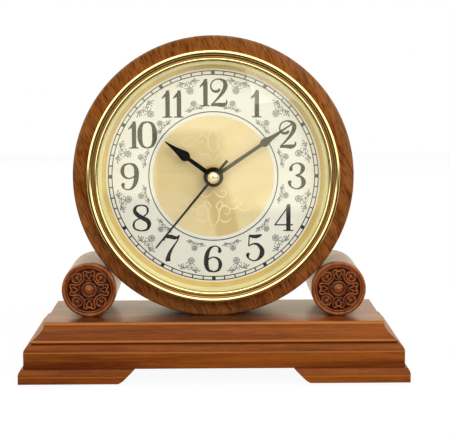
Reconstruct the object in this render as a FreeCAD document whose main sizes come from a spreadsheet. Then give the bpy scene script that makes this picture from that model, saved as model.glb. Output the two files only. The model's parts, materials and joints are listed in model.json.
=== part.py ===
import FreeCAD, Part
import math
import os
from types import SimpleNamespace

import Sketcher

# A table clock: a turned wooden drum between two rolls, on a moulded base, with a quartz movement.
# X runs to the right of the dial, Y from front to back and Z up. The origin is on the table, under
# the middle of the foot. Lengths are millimetres, angles are degrees clockwise from twelve o'clock
# for the hands and anticlockwise from the X axis for the wheels, as seen from the front.

driving_sizes = {
    # base: outsets are measured outwards from the edge of the top board, drops down from its top face
    "foot_width": 220, "foot_depth": 97, "foot_outset": 13.6, "base_height": 33.6,
    "top_edge_round": 0.6, "cove_outset": 0.45, "cove_drop": 3.0, "cove_radius": 16.8,
    "lip_outset": 7.3, "lip_drop": 9.8, "board_thickness": 10.6,
    "plinth_neck_outset": 6.6, "plinth_neck_height": 0.7, "plinth_shoulder_outset": 7.6,
    "plinth_outset": 10.7, "plinth_ovolo_drop": 4.4, "plinth_ovolo_radius": 4.6,
    "foot_height": 9.05, "foot_shoulder_outset": 12.1, "foot_ovolo_drop": 4.2, "foot_ovolo_radius": 5.2,
    "foot_gap": 105.6, "pad_thickness": 1.0, "pad_radius": 9.0, "pad_inset": 17.0,
    # drum, measured from the plane of its wooden face
    "drum_radius": 80.95, "drum_depth": 45.0, "drum_edge_round": 1.5, "drum_seat_depth": 0.5,
    "face_setback": 20.4, "face_thickness": 7.1, "face_edge_round": 1.2, "web_thickness": 5.0,
    "pocket_radius": 41.5, "bush_hole_radius": 4.3,
    # rolls and their carved discs
    "roll_radius": 15.85, "roll_length": 50.0, "roll_proud": 4.9, "roll_gap": 0.2, "roll_seat_depth": 0.2,
    "roll_edge_round": 0.8, "rosette_thickness": 4.0, "rosette_field_depth": 2.2,
    "rosette_bead_depth": 1.1, "rosette_dome_height": 1.5, "rosette_nipple_height": 2.1,
    # bezel, glass, surround and dial
    "bezel_radius": 72.6, "bezel_seat_height": 3.6, "outer_bead_width": 2.7, "cove_width": 1.7,
    "inner_bead_width": 1.6, "bead_bulge": 0.08, "bezel_lip_height": 2.4, "spigot_radius": 69.7,
    "spigot_fit": 0.3, "rebate_radius": 67.8, "glass_thickness": 1.8, "glass_rise": 8.0,
    "glass_fit": 0.1, "glass_rim_width": 1.5, "surround_bore": 61.9, "surround_lip": 1.5,
    "dial_thickness": 0.8,
    # hands and what holds them
    "washer_radius": 6.4, "washer_thickness": 0.5, "nut_radius": 5.4, "nut_height": 2.4,
    "hand_thickness": 0.5, "hand_boss_depth": 0.6, "hour_boss_radius": 5.3, "minute_boss_radius": 4.2,
    "hour_hand_lift": 4.6, "minute_hand_lift": 6.6, "second_hand_lift": 8.3,
    "hour_tip": 34.0, "hour_stem_width": 2.2, "hour_bulb_reach": 20.7, "hour_bulb_width": 5.0,
    "minute_tip": 55.3, "minute_stem_width": 1.8, "minute_bulb_reach": 35.6, "minute_bulb_width": 4.2,
    "second_tip": 52.0, "second_tail": 12.0, "second_root_width": 1.3, "second_tip_width": 0.6,
    "second_boss_radius": 2.4, "cap_radius": 3.8, "cap_height": 3.0, "cap_edge": 1.0,
    "hour_angle": 306.5, "minute_angle": 56.0, "second_angle": 219.4,
    # movement housing, measured from its front face
    "movement_width": 56.0, "movement_depth": 17.0, "movement_wall": 1.5, "movement_corner": 3.0,
    "rubber_thickness": 1.0, "rubber_radius": 12.0, "bush_radius": 4.0, "divider_thickness": 1.2,
    "cover_plate_thickness": 1.2, "pillar_inset": 3.6, "pillar_radius": 2.0, "pillar_pin_radius": 1.2,
    "bridge_front": 6.0, "bridge_thickness": 1.0, "post_radius": 1.0,
    "knob_radius": 5.5, "knob_height": 3.0, "knob_lift": 0.5, "pivot_recess": 0.4,
    # train: modules, thicknesses and depths behind the front face of the housing
    "motion_module": 0.375, "hour_module": 0.36, "third_module": 0.25, "second_module": 0.3,
    "rotor_module": 0.22, "wheel_thickness": 0.7, "pinion_overhang": 0.15,
    "hour_wheel_depth": 1.8, "reverser_depth": 3.2, "centre_depth": 4.5, "third_depth": 7.4,
    "second_depth": 8.8, "intermediate_depth": 10.2,
    "second_arbor_radius": 0.5, "minute_pipe_radius": 1.3, "hour_pipe_radius": 2.5,
    "arbor_radius": 0.4, "knob_arbor_radius": 0.7, "running_fit": 0.1, "pivot_fit": 0.06,
    "third_axis_angle": 60.0, "intermediate_axis_angle": -15.0, "reverser_axis_angle": 180.0,
    "rotor_axis_angle": 40.0,
    # step motor, electronics and battery
    "magnet_radius": 2.8, "magnet_thickness": 1.8, "magnet_depth": 11.4, "stator_depth": 11.9,
    "stator_thickness": 0.8, "stator_gap": 0.6, "stator_left_reach": 4.0, "stator_width": 14.6,
    "stator_lower_reach": 6.6, "stator_height": 20.0, "stator_arm": 3.6, "stator_waist": 8.2,
    "coil_radius": 2.3, "coil_flange": 0.5, "winding_recess": 0.3,
    "board_left": -24.0, "board_bottom": 3.0, "circuit_width": 13.0, "circuit_height": 18.0,
    "circuit_thickness": 1.0, "circuit_depth": 12.4, "crystal_radius": 1.0, "crystal_length": 6.0,
    "battery_radius": 7.25, "battery_length": 50.5, "battery_nub_radius": 2.75,
    "battery_nub_length": 1.3, "battery_gap": 0.3, "contact_thickness": 0.4, "contact_width": 8.0,
    # back cover and screws
    "cover_radius": 45.5, "cover_thickness": 3.0, "cover_fit": 0.3, "skirt_depth": 6.0,
    "skirt_thickness": 2.0, "notch_radius": 6.0,
    "screw_radius": 2.0, "screw_head_radius": 4.0, "drum_screw_length": 30.0, "roll_screw_length": 20.0,
    "drum_screw_front": 4.0, "drum_screw_rear": 20.0, "roll_screw_spread": 26.0, "cut_overrun": 1.0,
}

# Shapes of the teeth, in modules, of the hands, in widths of stem and bulb, and of the carved disc,
# as shares of its radius.
tooth_tip_share = 0.7
tooth_root_share = 1.05
tooth_tip_width_share = 0.10
wheel_root_width_share = 0.27
pinion_root_width_share = 0.243
throat_share = 1.2
flank_share = 1.6
rim_bead_share = 0.86
second_bead_share = 0.78
dome_share = 0.33
nipple_share = 0.16

doc = FreeCAD.newDocument("TableClock")
sheet = doc.addObject("Spreadsheet::Sheet", "Sizes")


class Size:
    """A length with the spreadsheet expression that it is worked out by."""

    def __init__(self, value, text):
        self.value = float(value)
        self.text = text

    def _join(self, other, sign, value):
        return Size(value, f"({self.text} {sign} {other.text})")

    def __add__(self, other):
        other = as_size(other)
        return self._join(other, "+", self.value + other.value)

    def __sub__(self, other):
        other = as_size(other)
        return self._join(other, "-", self.value - other.value)

    def __mul__(self, other):
        other = as_size(other)
        return self._join(other, "*", self.value * other.value)

    def __truediv__(self, other):
        other = as_size(other)
        return self._join(other, "/", self.value / other.value)

    def __neg__(self):
        return Size(-self.value, f"(0 - {self.text})")


def as_size(value):
    return value if isinstance(value, Size) else Size(value, repr(value))


def root(size):
    return Size(math.sqrt(size.value), f"sqrt({size.text})")


def cosine(angle):
    return Size(math.cos(math.radians(angle.value)), f"cos({angle.text})")


def sine(angle):
    return Size(math.sin(math.radians(angle.value)), f"sin({angle.text})")


def fill_sheet():
    named = {}
    for row, (alias, value) in enumerate(driving_sizes.items(), start=1):
        sheet.set(f"A{row}", alias)
        sheet.set(f"B{row}", str(value))
        sheet.setAlias(f"B{row}", alias)
        named[alias] = Size(value, f"Sizes.{alias}")
    doc.recompute()
    return SimpleNamespace(**named)


d = fill_sheet()
NIL = Size(0, "0")
X_AXIS = FreeCAD.Vector(1, 0, 0)
Z_AXIS = FreeCAD.Vector(0, 0, 1)
UPRIGHT = FreeCAD.Rotation()
FACING_FRONT = FreeCAD.Rotation(X_AXIS, 90)

# Planes and axes that several pieces share.
half_foot_width = d.foot_width / 2
half_foot_depth = d.foot_depth / 2
top_half_width = half_foot_width - d.foot_outset
top_half_depth = half_foot_depth - d.foot_outset
board_underside = d.base_height - d.board_thickness
axis_height = d.base_height + d.drum_radius - d.drum_seat_depth
face_y = d.face_setback - top_half_depth
roll_front_y = face_y - d.roll_proud
roll_height = d.base_height + d.roll_radius - d.roll_seat_depth
roll_reach = d.drum_radius + d.roll_radius + d.roll_gap
roll_drop = axis_height - roll_height
roll_x = root(roll_reach * roll_reach - roll_drop * roll_drop)
bezel_bore = d.spigot_radius + d.spigot_fit
dial_front = d.dial_thickness - d.face_thickness
dial_radius = d.rebate_radius - d.glass_fit
glass_back = d.bezel_lip_height - d.glass_thickness
movement_y = face_y + d.face_thickness + d.web_thickness + d.rubber_thickness
half_movement = d.movement_width / 2
half_inside = half_movement - d.movement_wall
bay_height = d.battery_radius * 2 + d.battery_gap * 2
bay_top = bay_height - half_inside
train_bottom = bay_top + d.divider_thickness
cover_plate_front = d.movement_depth - d.cover_plate_thickness
nut_front = d.dial_thickness + d.washer_thickness + d.nut_height
hands_y = face_y - dial_front

nodes = []


def bind(thing, path, size):
    """Set a property to a size, and tie it to the sheet."""
    if "Sizes." in size.text:
        thing.setExpression(path, size.text)


def place(thing, x=NIL, y=NIL, z=NIL, turn=UPRIGHT):
    base = FreeCAD.Vector(x.value, y.value, z.value)
    thing.Placement = FreeCAD.Placement(base, turn)
    bind(thing, "Placement.Base.x", x)
    bind(thing, "Placement.Base.y", y)
    bind(thing, "Placement.Base.z", z)
    return thing


def node(thing, name):
    """Keep a finished piece under the name that its file gets."""
    thing.Label = name
    nodes.append(thing)
    return thing


def new_sketch(body, name, role, lift=NIL):
    plane = next(f for f in body.Origin.OriginFeatures if f.Role == role)
    sketch = body.newObject("Sketcher::SketchObject", name)
    sketch.AttachmentSupport = [(plane, "")]
    sketch.MapMode = "FlatFace"
    sketch.AttachmentOffset = FreeCAD.Placement(FreeCAD.Vector(0, 0, lift.value), UPRIGHT)
    bind(sketch, "AttachmentOffset.Base.z", lift)
    return sketch


def arc_between(start, end, radius, turn):
    """The short arc from start to end; turn is 1 anticlockwise and -1 clockwise."""
    middle = (start + end) / 2
    half = (end - start).Length / 2
    side = FreeCAD.Vector(start.y - end.y, end.x - start.x, 0).normalize()
    centre = middle + side * (turn * math.sqrt(max(radius * radius - half * half, 0)))
    first, last = (start, end) if turn > 0 else (end, start)
    begin = math.atan2(first.y - centre.y, first.x - centre.x)
    finish = math.atan2(last.y - centre.y, last.x - centre.x)
    if finish < begin:
        finish += 2 * math.pi
    return Part.ArcOfCircle(Part.Circle(centre, Z_AXIS, radius), begin, finish)


def draw(sketch, corners):
    """Draw a closed outline. A corner is (x, y), or (x, y, radius, turn) where an arc starts."""
    points = [FreeCAD.Vector(corner[0].value, corner[1].value, 0) for corner in corners]
    curves, ends = [], []
    for index, corner in enumerate(corners):
        start, end = points[index], points[(index + 1) % len(points)]
        if len(corner) == 2:
            curves.append(Part.LineSegment(start, end))
            ends.append((1, 2))
        else:
            curves.append(arc_between(start, end, corner[2].value, corner[3]))
            ends.append((1, 2) if corner[3] > 0 else (2, 1))
    base = sketch.GeometryCount
    sketch.addGeometry(curves, False)
    first_row = sketch.ConstraintCount
    rows, ties = [], []
    for index, corner in enumerate(corners):
        following = (index + 1) % len(corners)
        here, there = base + index, base + following
        rows.append(Sketcher.Constraint("Coincident", here, ends[index][1], there, ends[following][0]))
        ties.append(NIL)
        rows.append(Sketcher.Constraint("DistanceX", -1, 1, here, ends[index][0], corner[0].value))
        ties.append(corner[0])
        rows.append(Sketcher.Constraint("DistanceY", -1, 1, here, ends[index][0], corner[1].value))
        ties.append(corner[1])
        if len(corner) > 2:
            rows.append(Sketcher.Constraint("Radius", here, corner[2].value))
            ties.append(corner[2])
    sketch.addConstraint(rows)
    for offset, size in enumerate(ties):
        bind(sketch, f"Constraints[{first_row + offset}]", size)


def draw_circle(sketch, x, y, radius):
    centre = FreeCAD.Vector(x.value, y.value, 0)
    index = sketch.addGeometry(Part.Circle(centre, Z_AXIS, radius.value), False)
    first_row = sketch.ConstraintCount
    sketch.addConstraint([
        Sketcher.Constraint("DistanceX", -1, 1, index, 3, x.value),
        Sketcher.Constraint("DistanceY", -1, 1, index, 3, y.value),
        Sketcher.Constraint("Radius", index, radius.value),
    ])
    for offset, size in enumerate((x, y, radius)):
        bind(sketch, f"Constraints[{first_row + offset}]", size)


def feature(body, kind, name, sketch, length, both_ways=False, backwards=False):
    """A pad or a pocket of a sketch; a pocket cuts upwards where it runs backwards."""
    made = body.newObject("PartDesign::" + kind, name)
    made.Profile = sketch
    made.Length = length.value
    made.Midplane = both_ways
    made.Reversed = backwards
    bind(made, "Length", length)
    return made


def new_body(name):
    return doc.addObject("PartDesign::Body", name + "_body")


def turned(name, corners):
    """A body of revolution about its own Z axis, from corners given as (radius, height)."""
    body = new_body(name)
    sketch = new_sketch(body, name + "_section", "XZ_Plane")
    draw(sketch, corners)
    turning = body.newObject("PartDesign::Revolution", name + "_turning")
    turning.Profile = sketch
    turning.ReferenceAxis = (sketch, ["V_Axis"])
    turning.Angle = 360
    return body


def padded(name, corners, thickness, lift=NIL):
    """A body of one thickness, from corners given as (x, y)."""
    body = new_body(name)
    sketch = new_sketch(body, name + "_outline", "XY_Plane", lift)
    draw(sketch, corners)
    feature(body, "Pad", name + "_pad", sketch, thickness)
    return body


def cut_round_holes(body, name, circles, start, depth):
    """Cut round holes upwards from a height; circles are (x, y, radius)."""
    sketch = new_sketch(body, name + "_circles", "XY_Plane", start)
    for x, y, radius in circles:
        draw_circle(sketch, x, y, radius)
    feature(body, "Pocket", name, sketch, depth, backwards=True)


def box_corners(left, bottom, right, top):
    return [(left, bottom), (right, bottom), (right, top), (left, top)]


def rounded_corners(half_width, half_height, radius):
    """A rectangle about the origin with rounded corners."""
    x, y = half_width, half_height
    return [
        (radius - x, -y), (x - radius, -y, radius, 1), (x, radius - y), (x, y - radius, radius, 1),
        (x - radius, y), (radius - x, y, radius, 1), (-x, y - radius), (-x, radius - y, radius, 1),
    ]


def both_sides(edge):
    """Complete the right-hand edge of a section, given upwards, with its mirror image."""
    outline = list(edge)
    for index in range(len(edge) - 1, -1, -1):
        arc = edge[index - 1][2:] if index > 0 else ()
        outline.append((-edge[index][0], edge[index][1]) + tuple(arc))
    return outline


def cut(name, base, tool):
    made = doc.addObject("Part::Cut", name + "_cut")
    made.Base = base
    made.Tool = tool
    return made


def grouped(name, pieces):
    made = doc.addObject("Part::Compound", name + "_group")
    made.Links = pieces
    return made


# Base


def crossed(name, front_section, side_section):
    """Two long mouldings, one along each axis, cut to what they share, which mitres the corners."""
    across = new_body(name + "_across")
    sketch = new_sketch(across, name + "_front_section", "XZ_Plane")
    draw(sketch, front_section)
    feature(across, "Pad", name + "_front_pad", sketch, d.foot_depth + d.cut_overrun, both_ways=True)
    along = new_body(name + "_along")
    sketch = new_sketch(along, name + "_side_section", "YZ_Plane")
    draw(sketch, side_section)
    feature(along, "Pad", name + "_side_pad", sketch, d.foot_width + d.cut_overrun, both_ways=True)
    made = doc.addObject("Part::MultiCommon", name + "_mitred")
    made.Shapes = [across, along]
    return made


def board_edge(half):
    top = d.base_height
    return [
        (half + d.lip_outset, board_underside),
        (half + d.lip_outset, top - d.lip_drop, d.cove_radius, -1),
        (half + d.cove_outset, top - d.cove_drop),
        (half, top - d.top_edge_round, d.top_edge_round, 1),
        (half - d.top_edge_round, top),
    ]


def plinth_edge(half):
    neck_top = board_underside
    shoulder = neck_top - d.plinth_neck_height
    return [
        (half + d.plinth_outset, d.foot_height),
        (half + d.plinth_outset, shoulder - d.plinth_ovolo_drop, d.plinth_ovolo_radius, 1),
        (half + d.plinth_shoulder_outset, shoulder),
        (half + d.plinth_neck_outset, shoulder),
        (half + d.plinth_neck_outset, neck_top),
    ]


def foot_edge(half):
    return [
        (half + d.foot_outset, d.pad_thickness),
        (half + d.foot_outset, d.foot_height - d.foot_ovolo_drop, d.foot_ovolo_radius, 1),
        (half + d.foot_shoulder_outset, d.foot_height),
    ]


def make_foot(name, side):
    """One bracket foot; side is 1 on the right and -1 on the left."""
    gap_half = d.foot_gap / 2
    rise = d.foot_height - d.pad_thickness
    inner = [(gap_half - rise, d.foot_height), (gap_half, d.pad_thickness)]
    outline = foot_edge(top_half_width) + inner
    if side < 0:
        outline = [(-corner[0], corner[1]) + tuple(outline[index - 1][2:])
                   for index, corner in reversed(list(enumerate(outline)))]
    return node(crossed(name, outline, both_sides(foot_edge(top_half_depth))), name)


def make_pads():
    reach_x = half_foot_width - d.pad_inset
    reach_y = half_foot_depth - d.pad_inset
    pads = []
    for name, x, y in (("front_left", -reach_x, -reach_y), ("front_right", reach_x, -reach_y),
                       ("rear_left", -reach_x, reach_y), ("rear_right", reach_x, reach_y)):
        pad = doc.addObject("Part::Cylinder", name + "_pad")
        bind(pad, "Radius", d.pad_radius)
        bind(pad, "Height", d.pad_thickness)
        pads.append(place(pad, x, y))
    node(grouped("felt_pads", pads), "felt_pads")


def make_screws(name, places, length):
    """Countersunk wood screws that stand in the top board, heads flush with its underside."""
    screws = []
    for index, (x, y) in enumerate(places, start=1):
        head = d.screw_head_radius
        cone = head - d.screw_radius
        screw = turned(f"{name}_{index}", [
            (NIL, NIL), (head, NIL), (d.screw_radius, cone), (d.screw_radius, length - d.screw_radius),
            (NIL, length),
        ])
        screws.append(place(screw, x, y, board_underside))
    return node(grouped(name, screws), name)


case_screws = make_screws("case_screws", [
    (NIL, face_y + d.face_thickness + d.drum_screw_front),
    (NIL, face_y + d.face_thickness + d.drum_screw_rear),
], d.drum_screw_length)
roll_middle_y = roll_front_y + d.roll_length / 2
roll_screw_y = (roll_middle_y - d.roll_screw_spread / 2, roll_middle_y + d.roll_screw_spread / 2)
roll_screws = make_screws("roll_screws", [(side, y) for side in (-roll_x, roll_x) for y in roll_screw_y],
                          d.roll_screw_length)
all_screws = grouped("all_screws", [case_screws, roll_screws])

board = crossed("base_top_board", both_sides(board_edge(top_half_width)),
                both_sides(board_edge(top_half_depth)))
node(cut("base_top_board", board, all_screws), "base_top_board")
node(crossed("base_plinth", both_sides(plinth_edge(top_half_width)),
             both_sides(plinth_edge(top_half_depth))), "base_plinth")
make_foot("left_foot", -1)
make_foot("right_foot", 1)
make_pads()

# Drum and rolls


def flatten(body, name, radius, seat_depth, rear):
    """Plane the underside of a turned piece where it stands on the base."""
    level = seat_depth - radius
    sketch = new_sketch(body, name + "_seat_outline", "XY_Plane", -rear)
    draw(sketch, box_corners(-radius, level - radius, radius, level))
    feature(body, "Pocket", name + "_seat", sketch, rear + d.cut_overrun, backwards=True)


def make_drum():
    radius, rear, edge = d.drum_radius, d.drum_depth, d.drum_edge_round
    web_rear = d.face_thickness + d.web_thickness
    body = turned("drum_case", [
        (d.bush_hole_radius, -web_rear), (d.pocket_radius, -web_rear),
        (d.pocket_radius, d.cover_thickness - rear), (d.cover_radius, d.cover_thickness - rear),
        (d.cover_radius, -rear), (radius - edge, -rear, edge, 1), (radius, edge - rear),
        (radius, -d.face_thickness), (d.bush_hole_radius, -d.face_thickness),
    ])
    flatten(body, "drum_case", radius, d.drum_seat_depth, rear)
    place(body, y=face_y, z=axis_height, turn=FACING_FRONT)
    node(cut("drum_case", body, case_screws), "drum_case")


def make_face_ring():
    edge = d.face_edge_round
    body = turned("face_ring", [
        (bezel_bore, -d.face_thickness), (d.drum_radius, -d.face_thickness),
        (d.drum_radius, -edge, edge, 1), (d.drum_radius - edge, NIL), (bezel_bore, NIL),
    ])
    flatten(body, "face_ring", d.drum_radius, d.drum_seat_depth, d.face_thickness)
    node(place(body, y=face_y, z=axis_height, turn=FACING_FRONT), "face_ring")


def make_roll(name, x):
    radius, rear, edge = d.roll_radius, d.roll_length, d.roll_edge_round
    body = turned(name, [
        (NIL, -rear), (radius - edge, -rear, edge, 1), (radius, edge - rear),
        (radius, -d.rosette_thickness), (NIL, -d.rosette_thickness),
    ])
    flatten(body, name, radius, d.roll_seat_depth, rear)
    place(body, x, roll_front_y, roll_height, FACING_FRONT)
    node(cut(name, body, roll_screws), name)


def make_rosette(name, x):
    """The carved disc: a rim of two beads round a sunk field with a domed boss."""
    radius = d.roll_radius
    rim = radius * rim_bead_share
    inner = radius * second_bead_share
    dome = radius * dome_share
    nipple = radius * nipple_share
    bead_base = -d.rosette_bead_depth
    field = -d.rosette_field_depth
    dome_top = field + d.rosette_dome_height
    nipple_top = field + d.rosette_nipple_height
    crown_rise = nipple_top - dome_top
    crown = (nipple * nipple + crown_rise * crown_rise) / (crown_rise * 2)
    body = turned(name, [
        (NIL, -d.rosette_thickness), (radius, -d.rosette_thickness),
        (radius, bead_base, (radius - rim) / 2 + d.bead_bulge, 1),
        (rim, bead_base, (rim - inner) / 2 + d.bead_bulge, 1), (inner, bead_base), (inner, field),
        (dome, field, dome - nipple, 1), (nipple, dome_top, crown, 1), (NIL, nipple_top),
    ])
    flatten(body, name, radius, d.roll_seat_depth, d.rosette_thickness)
    node(place(body, x, roll_front_y, roll_height, FACING_FRONT), name)


make_drum()
make_face_ring()
make_roll("left_roll", -roll_x)
make_roll("right_roll", roll_x)
make_rosette("left_rosette", -roll_x)
make_rosette("right_rosette", roll_x)

# Bezel, glass and dial


def bezel_section():
    height = d.bezel_seat_height
    outer = d.bezel_radius
    cove_out = outer - d.outer_bead_width
    cove_in = cove_out - d.cove_width
    lip = cove_in - d.inner_bead_width
    return [
        (d.rebate_radius, -d.face_thickness), (d.spigot_radius, -d.face_thickness),
        (d.spigot_radius, NIL), (outer, NIL),
        (outer, height, d.outer_bead_width / 2 + d.bead_bulge, 1),
        (cove_out, height, d.cove_width / 2 + d.bead_bulge, -1),
        (cove_in, height, d.inner_bead_width / 2 + d.bead_bulge, 1),
        (lip, height), (lip, d.bezel_lip_height), (d.rebate_radius, d.bezel_lip_height),
    ]


def glass_section():
    """A domed glass with a flat rim: both faces are arcs of one rise over their own chords."""
    rim = d.rebate_radius - d.glass_fit
    front_chord = rim - d.glass_rim_width
    back_chord = front_chord - d.glass_fit
    rise = d.glass_rise
    front_arc = (front_chord * front_chord + rise * rise) / (rise * 2)
    back_arc = (back_chord * back_chord + rise * rise) / (rise * 2)
    return [
        (NIL, glass_back + rise, back_arc, -1), (back_chord, glass_back), (rim, glass_back),
        (rim, d.bezel_lip_height), (front_chord, d.bezel_lip_height, front_arc, 1),
        (NIL, d.bezel_lip_height + rise),
    ]


def surround_section():
    outer = d.rebate_radius - d.glass_fit
    return [
        (d.surround_bore, dial_front), (outer, dial_front), (outer, glass_back),
        (outer - d.surround_lip, glass_back),
    ]


def dial_section():
    bore = d.bush_hole_radius
    return [(bore, -d.face_thickness), (dial_radius, -d.face_thickness), (dial_radius, dial_front),
            (bore, dial_front)]


for ring_name, section in (("bezel_ring", bezel_section()), ("bezel_glass", glass_section()),
                           ("dial_surround", surround_section()), ("dial_plate", dial_section())):
    node(place(turned(ring_name, section), y=face_y, z=axis_height, turn=FACING_FRONT), ring_name)

# Washer, nut and hands: heights are measured forwards from the dial


def ring_corners(bore, outer, back, front):
    return [(bore, back), (outer, back), (outer, front), (bore, front)]


def on_dial(body, name, turn=FACING_FRONT):
    return node(place(body, y=hands_y, z=axis_height, turn=turn), name)


def clock_turn(angle):
    """The rotation that lays a hand drawn pointing to twelve at its angle, clockwise."""
    return FACING_FRONT.multiply(FreeCAD.Rotation(Z_AXIS, -angle.value))


def spade_corners(tip, stem_width, bulb_reach, bulb_width):
    """A hand pointing to twelve: a stem that swells to a bulb and ends in a fine point."""
    stem, bulb = stem_width / 2, bulb_width / 2
    neck = bulb_reach - bulb_width
    shoulder = bulb_reach + bulb_width
    throat = stem * throat_share
    flank = bulb_width * flank_share
    return [
        (stem, NIL), (stem, neck, flank, -1), (bulb, bulb_reach, flank, 1),
        (throat, shoulder), (NIL, tip), (-throat, shoulder, flank, 1),
        (-bulb, bulb_reach, flank, -1), (-stem, neck), (-stem, NIL),
    ]


def make_spade_hand(name, corners, boss_radius, bore, lift, angle):
    body = padded(name, corners, d.hand_thickness, lift)
    boss = new_sketch(body, name + "_boss_outline", "XY_Plane", lift - d.hand_boss_depth)
    draw_circle(boss, NIL, NIL, boss_radius)
    feature(body, "Pad", name + "_boss", boss, d.hand_boss_depth + d.hand_thickness)
    cut_round_holes(body, name + "_bore", [(NIL, NIL, bore)], lift - d.hand_boss_depth - d.cut_overrun,
                    d.hand_boss_depth + d.hand_thickness + d.cut_overrun * 2)
    on_dial(body, name, clock_turn(angle))


def make_second_hand():
    root_half, tip_half = d.second_root_width / 2, d.second_tip_width / 2
    lift = d.second_hand_lift
    body = padded("second_hand", [
        (root_half, -d.second_tail), (tip_half, d.second_tip), (-tip_half, d.second_tip),
        (-root_half, -d.second_tail),
    ], d.hand_thickness, lift)
    boss = new_sketch(body, "second_hand_boss_outline", "XY_Plane", lift - d.hand_boss_depth)
    draw_circle(boss, NIL, NIL, d.second_boss_radius)
    feature(body, "Pad", "second_hand_boss", boss, d.hand_boss_depth + d.hand_thickness)
    cut_round_holes(body, "second_hand_bore", [(NIL, NIL, d.second_arbor_radius)],
                    lift - d.hand_boss_depth - d.cut_overrun,
                    d.hand_boss_depth + d.hand_thickness + d.cut_overrun * 2)
    on_dial(body, "second_hand", clock_turn(d.second_angle))


def make_cap():
    back = d.second_hand_lift + d.hand_thickness
    front = back + d.cap_height
    edge = back + d.cap_edge
    rise = front - edge
    crown = (d.cap_radius * d.cap_radius + rise * rise) / (rise * 2)
    on_dial(turned("hand_cap", [
        (NIL, back + d.cap_edge), (d.second_arbor_radius, back + d.cap_edge),
        (d.second_arbor_radius, back), (d.cap_radius, back), (d.cap_radius, edge, crown, 1),
        (NIL, front),
    ]), "hand_cap")


on_dial(turned("dial_washer", ring_corners(d.bush_radius, d.washer_radius, NIL, d.washer_thickness)),
        "dial_washer")
on_dial(turned("fixing_nut", ring_corners(d.bush_radius, d.nut_radius, d.washer_thickness,
                                          d.washer_thickness + d.nut_height)), "fixing_nut")
make_spade_hand("hour_hand", spade_corners(d.hour_tip, d.hour_stem_width, d.hour_bulb_reach,
                                           d.hour_bulb_width),
                d.hour_boss_radius, d.hour_pipe_radius, d.hour_hand_lift, d.hour_angle)
make_spade_hand("minute_hand", spade_corners(d.minute_tip, d.minute_stem_width, d.minute_bulb_reach,
                                             d.minute_bulb_width),
                d.minute_boss_radius, d.minute_pipe_radius, d.minute_hand_lift, d.minute_angle)
make_second_hand()
make_cap()

# Movement housing: depths are measured backwards from its front face


def in_movement(body, name, x=NIL, y=NIL):
    return node(place(body, x, movement_y, axis_height + y, FACING_FRONT), name)


def lengths_to_dial(lift):
    """Distance from the front of the housing to a height above the dial."""
    return d.rubber_thickness + d.web_thickness + d.dial_thickness + lift


pillar_x = half_inside - d.pillar_inset + d.movement_wall
pillar_top_y = pillar_x
pillar_bottom_y = train_bottom + d.pillar_inset - d.movement_wall
pillars = [(-pillar_x, pillar_bottom_y), (pillar_x, pillar_bottom_y), (-pillar_x, pillar_top_y),
           (pillar_x, pillar_top_y)]

# Wheel axes
tooth_counts = {
    "cannon": 12, "reverser": 36, "reverser_pinion": 10, "hour": 40, "centre": 64, "third_pinion": 8,
    "third": 60, "second_pinion": 8, "second": 50, "intermediate_pinion": 10, "intermediate": 60,
    "rotor_pinion": 10, "knob": 24,
}


def pitch_radius(name, module):
    return module * tooth_counts[name] / 2


def apart(first, second, module):
    return pitch_radius(first, module) + pitch_radius(second, module)


reverser_distance = apart("cannon", "reverser", d.motion_module)
third_distance = apart("second_pinion", "third", d.third_module)
centre_module = third_distance * 2 / (tooth_counts["third_pinion"] + tooth_counts["centre"])
intermediate_distance = apart("second", "intermediate_pinion", d.second_module)
rotor_distance = apart("intermediate", "rotor_pinion", d.rotor_module)
reverser_x = reverser_distance * cosine(d.reverser_axis_angle)
reverser_y = reverser_distance * sine(d.reverser_axis_angle)
third_x = third_distance * cosine(d.third_axis_angle)
third_y = third_distance * sine(d.third_axis_angle)
intermediate_x = intermediate_distance * cosine(d.intermediate_axis_angle)
intermediate_y = intermediate_distance * sine(d.intermediate_axis_angle)
rotor_x = intermediate_x + rotor_distance * cosine(d.rotor_axis_angle)
rotor_y = intermediate_y + rotor_distance * sine(d.rotor_axis_angle)
pivot_radius = d.arbor_radius + d.pivot_fit
knob_pivot_radius = d.knob_arbor_radius + d.pivot_fit


def make_movement_case():
    depth, wall, corner = d.movement_depth, d.movement_wall, d.movement_corner
    body = padded("movement_case", rounded_corners(half_movement, half_movement, corner), depth, -depth)
    for name, bottom, top in (("battery_bay", -half_inside, bay_top),
                              ("train_space", train_bottom, half_inside)):
        sketch = new_sketch(body, name + "_outline", "XY_Plane", -depth)
        draw(sketch, box_corners(-half_inside, bottom, half_inside, top))
        feature(body, "Pocket", name, sketch, depth - wall, backwards=True)
    for name, radius, reach in (("shoulder", d.pillar_radius, d.bridge_front),
                                ("pin", d.pillar_pin_radius, cover_plate_front)):
        sketch = new_sketch(body, f"pillar_{name}_circles", "XY_Plane", -reach)
        for x, y in pillars:
            draw_circle(sketch, x, y, radius)
        feature(body, "Pad", f"pillar_{name}s", sketch, reach - wall)
    bush = new_sketch(body, "bush_circle", "XY_Plane")
    draw_circle(bush, NIL, NIL, d.bush_radius)
    feature(body, "Pad", "bush", bush, lengths_to_dial(d.washer_thickness + d.nut_height))
    bore = d.hour_pipe_radius + d.running_fit
    cut_round_holes(body, "bush_bore", [(NIL, NIL, bore)], -wall - d.cut_overrun,
                    lengths_to_dial(nut_front) + wall + d.cut_overrun * 2)
    cut_round_holes(body, "front_pivots", [(third_x, third_y, pivot_radius),
                                           (reverser_x, reverser_y, knob_pivot_radius)],
                    -wall - d.cut_overrun, wall + d.cut_overrun * 2)
    in_movement(body, "movement_case")


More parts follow.
